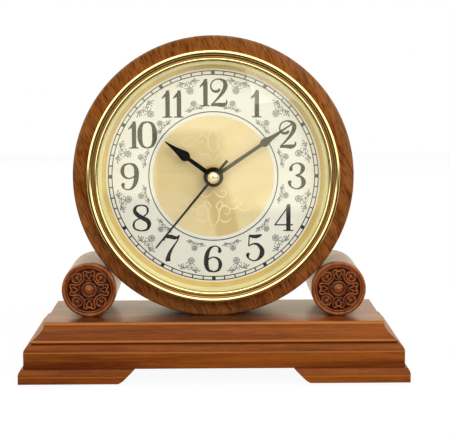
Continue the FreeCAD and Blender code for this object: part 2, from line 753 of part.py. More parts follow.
def make_bridge():
    fit = d.pivot_fit
    half = half_inside - fit
    front, thickness = d.bridge_front, d.bridge_thickness
    body = padded("train_bridge", box_corners(-half, train_bottom + fit, half, half), thickness,
                  -(front + thickness))
    for name, places, reach in (("stator_posts", stator_posts, d.stator_depth),
                                ("circuit_posts", circuit_posts, d.circuit_depth)):
        sketch = new_sketch(body, name + "_circles", "XY_Plane", -reach)
        for x, y in places:
            draw_circle(sketch, x, y, d.post_radius)
        feature(body, "Pad", name, sketch, reach - front)
    holes = [(x, y, d.pillar_pin_radius + fit) for x, y in pillars]
    holes += [(NIL, NIL, d.second_arbor_radius + fit), (third_x, third_y, pivot_radius),
              (reverser_x, reverser_y, knob_pivot_radius),
              (intermediate_x, intermediate_y, pivot_radius), (rotor_x, rotor_y, pivot_radius)]
    cut_round_holes(body, "bridge_holes", holes, -(front + thickness + d.cut_overrun),
                    thickness + d.cut_overrun * 2)
    in_movement(body, "train_bridge")


def make_cover_plate():
    fit = d.pivot_fit
    half = half_inside - fit
    body = padded("movement_cover", box_corners(-half, train_bottom + fit, half, half),
                  d.cover_plate_thickness, -d.movement_depth)
    holes = [(NIL, NIL, d.second_arbor_radius + fit), (third_x, third_y, pivot_radius),
             (reverser_x, reverser_y, knob_pivot_radius),
             (intermediate_x, intermediate_y, pivot_radius), (rotor_x, rotor_y, pivot_radius)]
    cut_round_holes(body, "cover_pivots", holes, -(d.movement_depth + d.cut_overrun),
                    d.cover_plate_thickness + d.cut_overrun * 2)
    in_movement(body, "movement_cover")


stator_left = rotor_x - d.stator_left_reach
stator_right = stator_left + d.stator_width
stator_bottom = rotor_y - d.stator_lower_reach
stator_top = stator_bottom + d.stator_height
stator_posts = [(stator_left + d.stator_arm, stator_top - d.stator_arm / 2),
                (stator_right - d.stator_arm / 2, stator_bottom + d.stator_arm / 2)]
circuit_right = d.board_left + d.circuit_width
circuit_top = d.board_bottom + d.circuit_height
circuit_posts = [(d.board_left + d.post_radius * 2, d.board_bottom + d.post_radius * 2),
                 (circuit_right - d.post_radius * 2, circuit_top - d.post_radius * 2)]
make_movement_case()
make_bridge()
make_cover_plate()
in_movement(turned("rubber_washer", ring_corners(d.bush_radius, d.rubber_radius, NIL,
                                                 d.rubber_thickness)), "rubber_washer")

# Train


def toothed(name, module, first_angle, back, front, root_width_share):
    """A toothed disc with straight flanks, between two depths; first_angle is its first tooth's."""
    count = tooth_counts[name]
    size = module.value
    pitch = 360 / count
    reach = pitch_radius(name, module).value
    tip = reach + tooth_tip_share * size
    base = reach - tooth_root_share * size
    tip_half = math.degrees(tooth_tip_width_share * math.pi * size / tip)
    root_half = math.degrees(root_width_share * math.pi * size / base)
    points = []
    for tooth in range(count):
        middle = first_angle + tooth * pitch
        for radius, angle in ((base, middle - root_half), (tip, middle - tip_half),
                              (tip, middle + tip_half), (base, middle + root_half)):
            radians = math.radians(angle)
            points.append(FreeCAD.Vector(radius * math.cos(radians), radius * math.sin(radians),
                                         -back.value))
    face = Part.Face(Part.makePolygon(points + points[:1]))
    return face.extrude(Z_AXIS * (back.value - front.value))


def rod(radius, back, front, bore=NIL):
    """A cylinder between two depths, or a pipe where it has a bore."""
    start = FreeCAD.Vector(0, 0, -back.value)
    length = back.value - front.value
    shape = Part.makeCylinder(radius.value, length, start)
    if bore.value > 0:
        shape = shape.cut(Part.makeCylinder(bore.value, length, start))
    return shape


def meshed_angle(direction, driver, driver_angle, driven):
    """The first tooth's angle on a wheel that lies in a direction from its driver, gap on tooth."""
    driver_pitch = 360 / tooth_counts[driver]
    driven_pitch = 360 / tooth_counts[driven]
    driver_phase = (direction - driver_angle) / driver_pitch % 1
    return direction + 180 - (0.5 - driver_phase) * driven_pitch


def make_wheel(name, shapes, x=NIL, y=NIL, bore=NIL, bore_back=NIL, bore_front=NIL):
    """Fuse the toothed discs and rods that turn as one piece on one axis."""
    solid = shapes[0].multiFuse(shapes[1:]) if len(shapes) > 1 else shapes[0]
    if bore.value > 0:
        solid = solid.cut(rod(bore, bore_back, bore_front))
    made = doc.addObject("Part::Feature", name + "_solid")
    made.Shape = solid.removeSplitter()
    return in_movement(made, name, x, y)


def disc(name, module, angle, depth):
    return toothed(name, module, angle, depth + d.wheel_thickness, depth, wheel_root_width_share)


def pinion(name, module, angle, depth):
    over = d.pinion_overhang
    return toothed(name, module, angle, depth + d.wheel_thickness + over, depth - over,
                   pinion_root_width_share)


reverser_wheel_angle = meshed_angle(d.reverser_axis_angle.value, "cannon", 0, "reverser")
hour_wheel_angle = meshed_angle(d.reverser_axis_angle.value + 180, "reverser_pinion", 0, "hour")
third_wheel_angle = meshed_angle(d.third_axis_angle.value, "second_pinion", 0, "third")
centre_wheel_angle = meshed_angle(d.third_axis_angle.value + 180, "third_pinion", 0, "centre")
intermediate_pinion_angle = meshed_angle(d.intermediate_axis_angle.value, "second", 0,
                                         "intermediate_pinion")
rotor_pinion_angle = meshed_angle(d.rotor_axis_angle.value, "intermediate", 0, "rotor_pinion")

pivot_back = d.movement_depth - d.pivot_recess
pivot_front = d.pivot_recess
bridge_pivot = d.bridge_front + d.pivot_recess
minute_bore = d.second_arbor_radius + d.running_fit
hour_bore = d.minute_pipe_radius + d.running_fit
cannon_back = d.centre_depth + d.wheel_thickness + d.pinion_overhang
hour_pipe_front = -lengths_to_dial(d.hour_hand_lift + d.hand_thickness)
minute_pipe_front = -lengths_to_dial(d.minute_hand_lift + d.hand_thickness)
second_arbor_front = -lengths_to_dial(d.second_hand_lift + d.hand_thickness + d.cap_edge)

make_wheel("hour_wheel", [
    disc("hour", d.hour_module, hour_wheel_angle, d.hour_wheel_depth),
    rod(d.hour_pipe_radius, d.hour_wheel_depth + d.wheel_thickness, hour_pipe_front),
], bore=hour_bore, bore_back=d.hour_wheel_depth + d.wheel_thickness + d.cut_overrun,
           bore_front=hour_pipe_front - d.cut_overrun)
make_wheel("minute_pipe", [
    pinion("cannon", d.motion_module, 0, d.reverser_depth),
    rod(d.minute_pipe_radius, cannon_back, minute_pipe_front),
], bore=minute_bore, bore_back=cannon_back + d.cut_overrun, bore_front=minute_pipe_front - d.cut_overrun)
make_wheel("reverser_wheel", [
    disc("reverser", d.motion_module, reverser_wheel_angle, d.reverser_depth),
    pinion("reverser_pinion", d.hour_module, 0, d.hour_wheel_depth),
    rod(d.knob_arbor_radius, d.movement_depth + d.knob_lift, pivot_front),
], reverser_x, reverser_y)
make_wheel("centre_wheel", [disc("centre", centre_module, centre_wheel_angle, d.centre_depth)],
           bore=d.minute_pipe_radius + d.pivot_fit, bore_back=cannon_back + d.cut_overrun,
           bore_front=d.centre_depth - d.cut_overrun)
make_wheel("third_wheel", [
    disc("third", d.third_module, third_wheel_angle, d.third_depth),
    pinion("third_pinion", centre_module, 0, d.centre_depth),
    rod(d.arbor_radius, pivot_back, pivot_front),
], third_x, third_y)
make_wheel("second_wheel", [
    disc("second", d.second_module, 0, d.second_depth),
    pinion("second_pinion", d.third_module, 0, d.third_depth),
    rod(d.second_arbor_radius, pivot_back, second_arbor_front),
])
make_wheel("intermediate_wheel", [
    disc("intermediate", d.rotor_module, 0, d.intermediate_depth),
    pinion("intermediate_pinion", d.second_module, intermediate_pinion_angle, d.second_depth),
    rod(d.arbor_radius, pivot_back, bridge_pivot),
], intermediate_x, intermediate_y)
make_wheel("rotor", [
    pinion("rotor_pinion", d.rotor_module, rotor_pinion_angle, d.intermediate_depth),
    rod(d.magnet_radius, d.magnet_depth + d.magnet_thickness, d.magnet_depth),
    rod(d.arbor_radius, pivot_back, bridge_pivot),
], rotor_x, rotor_y)


knob_front = d.movement_depth + d.knob_lift
knob_module = d.knob_radius / (tooth_counts["knob"] / 2 + tooth_tip_share)
make_wheel("setting_knob", [
    toothed("knob", knob_module, 0, knob_front + d.knob_height, knob_front, wheel_root_width_share),
], reverser_x, reverser_y)

# Step motor, electronics and battery


def make_stator():
    left, right, bottom, top = stator_left, stator_right, stator_bottom, stator_top
    waist = left + d.stator_waist
    body = padded("stator", [
        (left, bottom), (right, bottom), (right, bottom + d.stator_arm),
        (waist, bottom + d.stator_arm), (waist, top - d.stator_arm), (right, top - d.stator_arm),
        (right, top), (left, top),
    ], d.stator_thickness, -(d.stator_depth + d.stator_thickness))
    cut_round_holes(body, "rotor_hole", [(rotor_x, rotor_y, d.magnet_radius + d.stator_gap)],
                    -(d.stator_depth + d.stator_thickness + d.cut_overrun),
                    d.stator_thickness + d.cut_overrun * 2)
    in_movement(body, "stator")


def make_coil():
    """A winding on a flanged bobbin between the arms of the stator."""
    length = d.stator_height - d.stator_arm * 2
    flange, winding = d.coil_radius, d.coil_radius - d.winding_recess
    body = turned("coil", [
        (NIL, NIL), (flange, NIL), (flange, d.coil_flange), (winding, d.coil_flange),
        (winding, length - d.coil_flange), (flange, length - d.coil_flange), (flange, length),
        (NIL, length),
    ])
    x = stator_right - d.stator_arm + d.coil_flange
    y = movement_y + d.stator_depth + d.stator_thickness / 2
    z = axis_height + stator_bottom + d.stator_arm
    node(place(body, x, y, z), "coil")


def make_circuit():
    body = padded("circuit_board", box_corners(d.board_left, d.board_bottom, circuit_right, circuit_top),
                  d.circuit_thickness, -(d.circuit_depth + d.circuit_thickness))
    in_movement(body, "circuit_board")
    crystal = turned("quartz_crystal", [
        (NIL, NIL), (d.crystal_radius, NIL), (d.crystal_radius, d.crystal_length),
        (NIL, d.crystal_length),
    ])
    x = (d.board_left + circuit_right) / 2
    y = movement_y + d.circuit_depth - d.crystal_radius
    z = axis_height + (d.board_bottom + circuit_top) / 2
    node(place(crystal, x, y, z), "quartz_crystal")


def make_battery():
    """A cell that lies in its bay with its nub to the right."""
    reach = half_inside - d.contact_thickness - d.battery_gap
    body_length = d.battery_length - d.battery_nub_length
    body = turned("battery", [
        (NIL, NIL), (d.battery_radius, NIL), (d.battery_radius, body_length),
        (d.battery_nub_radius, body_length), (d.battery_nub_radius, d.battery_length),
        (NIL, d.battery_length),
    ])
    x = reach - d.battery_length
    y = movement_y + d.movement_wall + d.battery_gap + d.battery_radius
    z = axis_height - half_inside + d.battery_gap + d.battery_radius
    node(place(body, x, y, z, FreeCAD.Rotation(FreeCAD.Vector(0, 1, 0), 90)), "battery")
    middle = d.battery_gap + d.battery_radius - half_inside
    half = d.contact_width / 2
    leaf = half_inside + reach - d.battery_length - d.battery_gap
    front = d.movement_wall + d.contact_width / 2
    for name, left, right in (
            ("battery_plus_contact", half_inside - d.contact_thickness, half_inside),
            ("battery_spring_contact", -half_inside, leaf - half_inside)):
        contact = padded(name, box_corners(left, middle - half, right, middle + half),
                         d.contact_width, -(front + d.contact_width))
        in_movement(contact, name)


make_stator()
make_coil()
make_circuit()
make_battery()

# Back cover


def make_back_cover():
    """A round cover with a skirt that fits the pocket, and a notch for a finger."""
    rear = d.drum_depth
    disc_radius = d.cover_radius - d.cover_fit
    skirt = d.pocket_radius - d.cover_fit
    inner = skirt - d.skirt_thickness
    step = d.cover_thickness - rear
    body = turned("back_cover", [
        (NIL, -rear), (disc_radius, -rear), (disc_radius, step), (skirt, step),
        (skirt, step + d.skirt_depth), (inner, step + d.skirt_depth), (inner, step), (NIL, step),
    ])
    cut_round_holes(body, "finger_notch", [(NIL, -d.cover_radius, d.notch_radius)],
                    -rear - d.cut_overrun, d.cover_thickness + d.cut_overrun)
    node(place(body, y=face_y, z=axis_height, turn=FACING_FRONT), "back_cover")


make_back_cover()


def write_parts():
    os.makedirs("parts", exist_ok=True)
    doc.recompute()
    for thing in doc.Objects:
        if "Invalid" in thing.State or "Error" in thing.State:
            raise RuntimeError(f"{thing.Label} failed: {thing.State}")
    for piece in nodes:
        if piece.Shape.isNull() or not piece.Shape.isValid():
            raise RuntimeError(f"{piece.Label} has no valid shape")
        piece.Shape.exportStep(f"parts/{piece.Label}.step")
        print(piece.Label, len(piece.Shape.Solids), round(piece.Shape.Volume, 1))


write_parts()
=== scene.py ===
# %% [markdown]
# A table clock in turned and moulded wood, dressed for the camera.
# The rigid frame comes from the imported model, so every surface made here starts from the place of a
# solid in that frame. Lengths are written in millimetres and become metres when a mesh is made.
# X runs to the right of the dial, Y from front to back and Z up, with the table at Z = 0.

# %% Load the frame
import json
import math

import bmesh
import bpy
import numpy as np
from mathutils import Matrix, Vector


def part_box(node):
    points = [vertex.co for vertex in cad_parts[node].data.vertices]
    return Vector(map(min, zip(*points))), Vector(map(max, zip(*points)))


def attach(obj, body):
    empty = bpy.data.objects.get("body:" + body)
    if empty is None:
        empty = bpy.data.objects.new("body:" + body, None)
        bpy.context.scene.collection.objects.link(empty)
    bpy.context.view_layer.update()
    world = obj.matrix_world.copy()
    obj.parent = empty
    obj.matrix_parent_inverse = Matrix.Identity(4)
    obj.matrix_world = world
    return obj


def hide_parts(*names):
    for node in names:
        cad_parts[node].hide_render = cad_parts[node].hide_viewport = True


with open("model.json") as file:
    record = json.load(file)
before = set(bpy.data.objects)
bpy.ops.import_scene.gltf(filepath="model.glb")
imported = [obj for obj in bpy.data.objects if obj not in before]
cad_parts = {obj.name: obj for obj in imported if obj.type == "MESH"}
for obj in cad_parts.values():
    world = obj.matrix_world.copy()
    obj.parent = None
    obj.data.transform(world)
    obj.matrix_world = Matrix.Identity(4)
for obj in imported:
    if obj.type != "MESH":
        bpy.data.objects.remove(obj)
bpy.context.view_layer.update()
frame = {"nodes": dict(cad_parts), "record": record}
MM = 0.001


def box(node):
    """Lowest and highest corner of a node, in millimetres."""
    low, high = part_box(node)
    return np.array(low) / MM, np.array(high) / MM


# %% [markdown]
# The clock is laid out round the dial's axis. Its height, the plane of the wooden face and the place of
# the two rolls are read from the frame, so that the dressing follows the solids if they move. Typed numbers
# would do for one clock, but they would have to be kept in step by hand. All that doesn't turn or slide
# rides on one body, the case.

# %% Places that several pieces share
CASE = "clock_case"
ring_low, ring_high = box("face_ring")
board_low, board_high = box("base_top_board")
DRUM_RADIUS = ring_high[0]
AXIS_Z = ring_high[2] - DRUM_RADIUS
FACE_Y = ring_low[1]
BOARD_TOP = board_high[2]
dial_low, dial_high = box("dial_plate")
DIAL_Y = dial_low[1]
rosette_low, rosette_high = box("left_rosette")
ROLL_RADIUS = (rosette_high[0] - rosette_low[0]) / 2
ROLL_X = -(rosette_high[0] + rosette_low[0]) / 2
ROLL_Z = rosette_high[2] - ROLL_RADIUS
ROLL_Y = rosette_low[1]
print("axis height", round(AXIS_Z, 2), "face plane", round(FACE_Y, 2), "dial plane", round(DIAL_Y, 2))

# %% [markdown]
# A finish is a tree of nodes, which could be wired by hand, box by box. Its maths reads better as sums. A
# Wire is the output of a node that can be added, multiplied and compared like a number, a Tree makes any
# other node with one method, and a Finish is the tree of a material with its shader.

# %% Shader maths as expressions


class Wire:
    """The output socket of a node, usable in sums."""

    def __init__(self, tree, socket):
        self.tree = tree
        self.socket = socket

    def maths(self, operation, *values):
        """One Math node on these values."""
        return self.tree.node("ShaderNodeMath", {"operation": operation}, dict(enumerate(values)))

    def __add__(self, other):
        return self.maths("ADD", self, other)

    def __sub__(self, other):
        return self.maths("SUBTRACT", self, other)

    def __mul__(self, other):
        return self.maths("MULTIPLY", self, other)

    def __truediv__(self, other):
        return self.maths("DIVIDE", self, other)

    def __pow__(self, other):
        return self.maths("POWER", self, other)

    def __radd__(self, other):
        return self.maths("ADD", other, self)

    def __rsub__(self, other):
        return self.maths("SUBTRACT", other, self)

    def __rmul__(self, other):
        return self.maths("MULTIPLY", other, self)

    def __neg__(self):
        return self.maths("MULTIPLY", self, -1.0)

    def absolute(self):
        """The value without its sign."""
        return self.maths("ABSOLUTE", self)

    def or_more(self, other):
        """The larger of two values."""
        return self.maths("MAXIMUM", self, other)

    def ramp(self, low, high):
        """0 below low and 1 above high, with a smooth rise between them."""
        return self.tree.node("ShaderNodeMapRange", {"interpolation_type": "SMOOTHSTEP"},
                              {"Value": self, "From Min": low, "From Max": high})


class Tree:
    """A node tree that is filled with expressions."""

    def __init__(self, tree):
        self.tree = tree
        tree.nodes.clear()

    def node(self, kind, settings=None, inputs=None, output=0):
        """Make a node: its settings first, then its inputs, which may be numbers or Wires."""
        made = self.tree.nodes.new(kind)
        for name, value in (settings or {}).items():
            setattr(made, name, value)
        for name, value in (inputs or {}).items():
            if isinstance(value, Wire):
                self.tree.links.new(value.socket, made.inputs[name])
            else:
                made.inputs[name].default_value = value
        return Wire(self, made.outputs[output]) if made.outputs else None

    def blend(self, share, first, second):
        """A colour between two colours."""
        return self.node("ShaderNodeMix", {"data_type": "RGBA"}, {0: share, 6: first, 7: second}, 2)

    def ray(self, kind):
        """1 for rays of that kind and 0 for all others."""
        return self.node("ShaderNodeLightPath", output=kind)


def paint(red, green, blue):
    """A colour written as it looks on a screen, 0 to 255, turned into the light it stands for. A small
    share of 255 is divided by 12.92. To any other 0.055 is added, and the sum over 1.055 is taken to the
    power 2.4."""
    share = np.array([red, green, blue]) / 255
    light = np.where(share <= 0.04045, share / 12.92, ((share + 0.055) / 1.055) ** 2.4)
    return (*light.tolist(), 1.0)


class Finish(Tree):
    """A material: constants go straight onto the shader, patterns are wired into it."""

    def __init__(self, name, colour, rough, **constants):
        self.material = bpy.data.materials.new(name)
        self.material.use_nodes = True
        super().__init__(self.material.node_tree)
        self.shader = self.tree.nodes.new("ShaderNodeBsdfPrincipled")
        self.surface = self.tree.nodes.new("ShaderNodeOutputMaterial")
        self.tree.links.new(self.shader.outputs[0], self.surface.inputs[0])
        self.set("Base Color", colour)
        self.set("Roughness", rough)
        for key, value in constants.items():
            self.set(key.replace("_", " ").title().replace("Ior", "IOR"), value)
        self.place = self.node("ShaderNodeTexCoord", output="Object")

    def set(self, name, value):
        """Put a constant on a socket of the shader, or wire a pattern to it."""
        if isinstance(value, Wire):
            self.tree.links.new(value.socket, self.shader.inputs[name])
        else:
            self.shader.inputs[name].default_value = value

    def mapped(self, scale, turn=(0.0, 0.0, 0.0)):
        """The place on the piece, turned first and then stretched."""
        turned = self.node("ShaderNodeMapping", {}, {"Vector": self.place, "Rotation": turn})
        return self.node("ShaderNodeMapping", {}, {"Vector": turned, "Scale": scale})

    def noise(self, where, scale=1.0, detail=4.0, roughness=0.55, distortion=0.0):
        """Cloudy noise at a place, from 0 to 1, that repeats as often per unit of it as scale says."""
        return self.node("ShaderNodeTexNoise", {}, {"Vector": where, "Scale": scale, "Detail": detail,
                                                    "Roughness": roughness, "Distortion": distortion})

    def axis(self, name):
        """One coordinate of the place on the piece, in metres."""
        return self.node("ShaderNodeSeparateXYZ", {}, {"Vector": self.place}, name)

    def bump(self, height, distance, strength=1.0):
        """Shade the surface as if it stood that distance higher, in metres, where height is 1."""
        self.set("Normal", self.node("ShaderNodeBump", {}, {
            "Height": height, "Distance": distance, "Strength": strength}))

    def share_with(self, other, share):
        """Let another shader take that share of the surface."""
        own = Wire(self, self.shader.outputs[0])
        both = self.node("ShaderNodeMixShader", {}, {0: share, 1: own, 2: other})
        self.tree.links.new(both.socket, self.surface.inputs[0])


print("half way to white on a screen is a light of", round(paint(128, 128, 128)[0], 3))

# %% [markdown]
# The base, the drum and the rolls are a fine-pored wood under a thick clear lacquer, stained a warm
# reddish brown. A picture of wood could be wrapped round them, but it would have to be unwrapped and would
# blur close up. Noise needs neither, so grain is noise drawn out along the fibres: a slow one for the bands
# between growth rings, a fast one for fibres and a thresholded one for the short dark pores. The lacquer
# is the coat of the shader, which turns pale where the surface is seen at a low angle.

# %% Wood under lacquer
WOOD_ROUGH, PORE_SHARE = 0.34, 0.55


def wood(name, light, middle, dark, grain, lines=(), coat=(0.8, 1.24, 0.12)):
    """The shade is half bands, three tenths fibres and a fifth patches, and runs from dark to light.
    grain is how often the pattern repeats per metre along X, Y and Z. A line is a level where stain has
    gathered or where a highlight is painted: its height and half width in millimetres, the share of the
    change there and its colour. coat is the weight, index and roughness of the lacquer."""
    finish = Finish(name, middle, WOOD_ROUGH, coat_weight=coat[0], coat_ior=coat[1],
                    coat_roughness=coat[2], specular_ior_level=0.03)
    along = finish.mapped(grain)
    bands = finish.noise(along, 1.0, 3.0, 0.5, 0.4)
    fibres = finish.noise(along, 7.0, 5.0, 0.65)
    pores = finish.noise(along, 17.0, 2.0, 0.5).ramp(0.60, 0.70)
    patches = finish.noise(finish.place, 9.0, 2.0, 0.5)
    shade = (bands * 0.5 + fibres * 0.3 + patches * 0.2).ramp(0.36, 0.66)
    colour = finish.blend(shade, dark, light)
    colour = finish.blend(0.25, colour, middle)
    colour = finish.blend(pores * PORE_SHARE, colour, dark)
    for level, half, share, tone in lines:
        gap = (finish.axis("Z") / MM - level).absolute()
        colour = finish.blend((1.0 - gap.ramp(0.3 * half, half)) * share, colour, tone)
    finish.colour = colour
    finish.set("Base Color", colour)
    finish.set("Roughness", 0.10 * fibres + (WOOD_ROUGH - 0.05))
    finish.bump(fibres * 0.4 - pores * 0.6, 0.00005, 0.5)
    return finish


GRAIN_DEEP = (190.0, 9.0, 70.0)
turned_wood = wood("stained_turned_wood", paint(158, 86, 30), paint(130, 62, 14), paint(80, 31, 6),
                   GRAIN_DEEP)
print("turned wood repeats", GRAIN_DEEP, "times per metre along X, Y and Z")

# %% [markdown]
# On the base the stain has gathered in the hollows of the mouldings, and pale lines of painted highlight
# run along their edges. A bake could find hollows and edges from the shape, but a moulding is alike all
# along its run, so a list of heights says the same in one line. On the board's top, painted shade darkens
# the corners between drum and rolls, and only this top has the full depth of lacquer.

# %% Wood of the base
GRAIN_ACROSS = (9.0, 80.0, 210.0)
# The pale colour is a painted highlight for the lit edges of the mouldings, and the darkest one is painted
# shade where drum and rolls meet the board.
STAIN, HIGHLIGHT_PAINT, CONTACT_SHADE_PAINT = paint(82, 29, 4), paint(206, 132, 66), paint(50, 18, 5)
# Two lines of stain at the joints, then four lines of painted highlight along the rounded edges.
stain_and_highlight_lines = ((9.05, 0.8, 0.35, STAIN), (22.75, 0.8, 0.7, STAIN), (4.9, 0.5, 0.4, HIGHLIGHT_PAINT),
              (18.2, 0.6, 0.45, HIGHLIGHT_PAINT), (23.9, 0.7, 0.6, HIGHLIGHT_PAINT), (32.7, 0.95, 0.8, HIGHLIGHT_PAINT))
SIDE_COAT = 0.35
base_wood = wood("stained_base_wood", paint(166, 90, 26), paint(138, 63, 8), STAIN, GRAIN_ACROSS, stain_and_highlight_lines,
                 (SIDE_COAT, 1.4, 0.26))
# Painted shade on the board's top, darkest next to the drum and the rolls.
aside_of_drum = (base_wood.axis("X") / MM).absolute()
aside_of_roll = (aside_of_drum - float(ROLL_X)).absolute()
corner = (1.0 - aside_of_drum.ramp(14.0, 44.0)) * 0.85
corner = corner.or_more((1.0 - aside_of_roll.ramp(2.0, 12.0)) * 0.6)
on_top = (base_wood.axis("Z") / MM).ramp(float(BOARD_TOP) - 0.3, float(BOARD_TOP) - 0.05)
base_wood.set("Coat Weight", SIDE_COAT + on_top * (1.0 - SIDE_COAT))
# Only the top face takes the painted shade.
base_wood.set("Base Color", base_wood.blend(corner * on_top, base_wood.colour, CONTACT_SHADE_PAINT))
print("levels of stain and painted_highlight on the base:", len(stain_and_highlight_lines))

# %% [markdown]
# The ring round the dial is a veneer laid flat on the drum. Its figure runs as one sheet across the
# whole ring, leaning back from the upright, with short dark flecks in it. A pattern bent round the ring
# would be the easy way on a turned piece, but a sheet of veneer isn't bent, so the pattern is turned as
# a whole about the dial's axis.

# %% Veneer of the face ring
VENEER_LEAN = 24
veneer = Finish("face_veneer_lacquered", paint(140, 80, 34), 0.33, coat_weight=0.8, coat_roughness=0.1,
                coat_ior=1.35, specular_ior_level=0.03)
leaning = (0.0, math.radians(VENEER_LEAN), 0.0)
sheet = veneer.mapped((1150.0, 60.0, 150.0), leaning)
waves = veneer.mapped((170.0, 10.0, 22.0), leaning)
flecks = veneer.noise(sheet, 1.0, 4.0, 0.6, 0.25)
fine = veneer.noise(sheet, 3.2, 3.0, 0.6)
broad = veneer.noise(waves, 1.0, 2.0, 0.5)
veneer_shade = (flecks * 0.50 + broad * 0.35 + fine * 0.15).ramp(0.33, 0.66)
veneer_colour = veneer.blend(veneer_shade, paint(104, 52, 16), paint(160, 97, 42))
fleck_lines = flecks.ramp(0.50, 0.34)
veneer.set("Base Color", veneer.blend(fleck_lines * 0.6, veneer_colour, paint(74, 32, 8)))
veneer.bump(fine - fleck_lines * 0.8, 0.00004, 0.5)
print("veneer figure leans", VENEER_LEAN, "degrees")

# %% [markdown]
# The carved discs are the same wood, with painted shade in their hollows and painted light on their ridges.
# The shader could look for hollows by itself, but only roughly. The mesh of a disc knows its own depth, so it
# carries that as an attribute, which darkens the ground of the carving and lightens its ridges.

# %% Carved wood
carved = Finish("carved_wood_shaded_hollows", paint(124, 58, 26), 0.3, coat_weight=1.0, coat_roughness=0.1,
                coat_ior=1.35, specular_ior_level=0.1)
relief = carved.node("ShaderNodeAttribute", {"attribute_name": "relief"}, output="Fac")
carved_grain = carved.noise(carved.mapped((260.0, 40.0, 60.0)), 1.0, 4.0, 0.6)
# Painted light on the ridges and painted shade in the hollows, set by the depth that the mesh carries.
ridge = carved.blend(carved_grain.ramp(0.35, 0.65), paint(124, 57, 21), paint(160, 84, 36))
hollow = carved.blend(carved_grain, paint(44, 14, 5), paint(74, 28, 10))
carved.set("Base Color", carved.blend(relief.ramp(0.12, 0.72), hollow, ridge))
carved.set("Roughness", 0.5 - relief * 0.25)
carved.bump(carved_grain, 0.00006, 0.4)
print("carved wood has", len(carved.tree.nodes), "nodes")

# %% [markdown]
# The bezel is lacquered brass, polished, and handling leaves its gloss uneven, which a slow noise gives. The
# hollow between its two beads is painted brown and rougher. The sloping ring inside is satin: its turning
# left fine rings, and a scribed line parts a deeper gold from a paler outer band. All of these follow
# circles, so masks on the distance from the dial's axis put them in place, where a painted picture would show
# its dots.

# %% Gold finishes
COVE_IN, COVE_OUT, BAND_IN = 68.0, 69.75, 64.0


def from_axis(finish):
    """Distance from the dial's axis, in millimetres: the root of across squared plus up squared."""
    across = finish.axis("X") / MM
    up = finish.axis("Z") / MM - float(AXIS_Z)
    return (across * across + up * up) ** 0.5


polished = Finish("polished_gold", paint(240, 226, 182), 0.1, metallic=1.0)
reach = from_axis(polished)
rub = polished.noise(polished.mapped((30.0, 30.0, 30.0)), 1.0, 3.0)
cove_mask = reach.ramp(COVE_IN, COVE_IN + 0.35) - reach.ramp(COVE_OUT, COVE_OUT + 0.3)
brown = cove_mask * (0.70 + rub * 0.25)
polished.set("Base Color", polished.blend(brown, paint(241, 226, 180), paint(112, 56, 24)))
polished.set("Roughness", 0.08 + rub * 0.08 + cove_mask * 0.22)

satin = Finish("satin_gold", paint(236, 222, 172), 0.36, metallic=0.6, specular_ior_level=0.3)
satin_reach = from_axis(satin)
tooling = satin.node("ShaderNodeTexNoise", {"noise_dimensions": "1D"},
                     {"W": satin_reach * 6.0, "Detail": 2.0})
two_tone = satin.blend(satin_reach.ramp(BAND_IN - 0.3, BAND_IN), paint(238, 204, 108), paint(246, 234, 172))
scribed = 1.0 - (satin_reach - (BAND_IN + 0.1)).absolute().ramp(0.1, 0.3)
satin.set("Base Color", satin.blend(scribed * 0.5, two_tone, paint(170, 140, 74)))
satin.set("Roughness", 0.32 + tooling * 0.1)
print("brown hollow from", COVE_IN, "to", COVE_OUT, "mm, pale band from", BAND_IN, "mm")

# %% [markdown]
# The dial is a printed metal plate: a pale silver ground with a fine grain and a champagne disc in the
# middle. Both could be one flat colour, but metal paint is never that even: a fine noise gives the sand of
# the ground, a slow one its clouds. On the disc, a paler right half is painted light and a soft dark wedge
# below the axis is painted shade; both are differences between the place across the disc and a leaning line.

# %% Silver and champagne
silver = Finish("silver_dial_paper", paint(224, 222, 208), 0.42, metallic=0.15, specular_ior_level=0.4)
sand = silver.noise(silver.mapped((1800.0, 1800.0, 1800.0)), 1.0, 2.0, 0.7)
cloud = silver.noise(silver.place, 14.0, 2.0)
silver.set("Base Color", silver.blend(sand * 0.6 + cloud * 0.4, paint(207, 204, 189), paint(229, 228, 216)))
silver.bump(sand, 0.00003, 0.4)

champagne = Finish("champagne_disc", paint(222, 200, 146), 0.45, metallic=0.2)
champagne_sand = champagne.noise(champagne.mapped((1300.0, 1300.0, 1300.0)), 1.0, 3.0, 0.7)
sweep = champagne.noise(champagne.mapped((26.0, 26.0, 40.0), (0.0, 0.5, 0.0)), 1.0, 3.0, 0.5, 0.6)
ground_tone = champagne.blend(champagne_sand * 0.35 + sweep.ramp(0.3, 0.7) * 0.65,
                              paint(209, 185, 124), paint(224, 206, 158))
below, across_disc = float(AXIS_Z) - champagne.axis("Z") / MM, champagne.axis("X") / MM
# Painted light: the right half of the disc is paler.
painted_light_half = (across_disc - below * 0.3).ramp(4.0, 9.0)
ground_tone = champagne.blend(painted_light_half * 0.1, ground_tone, paint(228, 212, 166))
# Painted shade: a soft dark wedge below the axis.
painted_shade_wedge = (1.0 - (across_disc - below * 0.25).absolute().ramp(5.0, 9.0)) * below.ramp(2.0, 14.0)
champagne.set("Base Color", champagne.blend(painted_shade_wedge * 0.85, ground_tone, paint(196, 168, 104)))
champagne.bump(champagne_sand, 0.00003, 0.4)
print("dial grounds:", silver.material.name, champagne.material.name)

# %% [markdown]
# Numerals and track are printed in black, the sprays in grey, and the ornament of the middle disc in a
# tone close to its ground. A print could be a picture laid on the plate. Here each is a thin layer of
# geometry with an ink of its own, so it keeps a clean edge at any distance. Ink never lies quite even, so
# each has two tones. The hands are lacquered in the same black, with a little more shine.

# %% Inks and black lacquer


def ink(name, deep, thin, rough=0.35):
    """Printing ink, a little uneven in how it lies."""
    finish = Finish(name, deep, rough, specular_ior_level=0.05)
    finish.set("Base Color", finish.blend(finish.noise(finish.place, 900.0, 2.0).ramp(0.3, 0.8), deep, thin))
    return finish


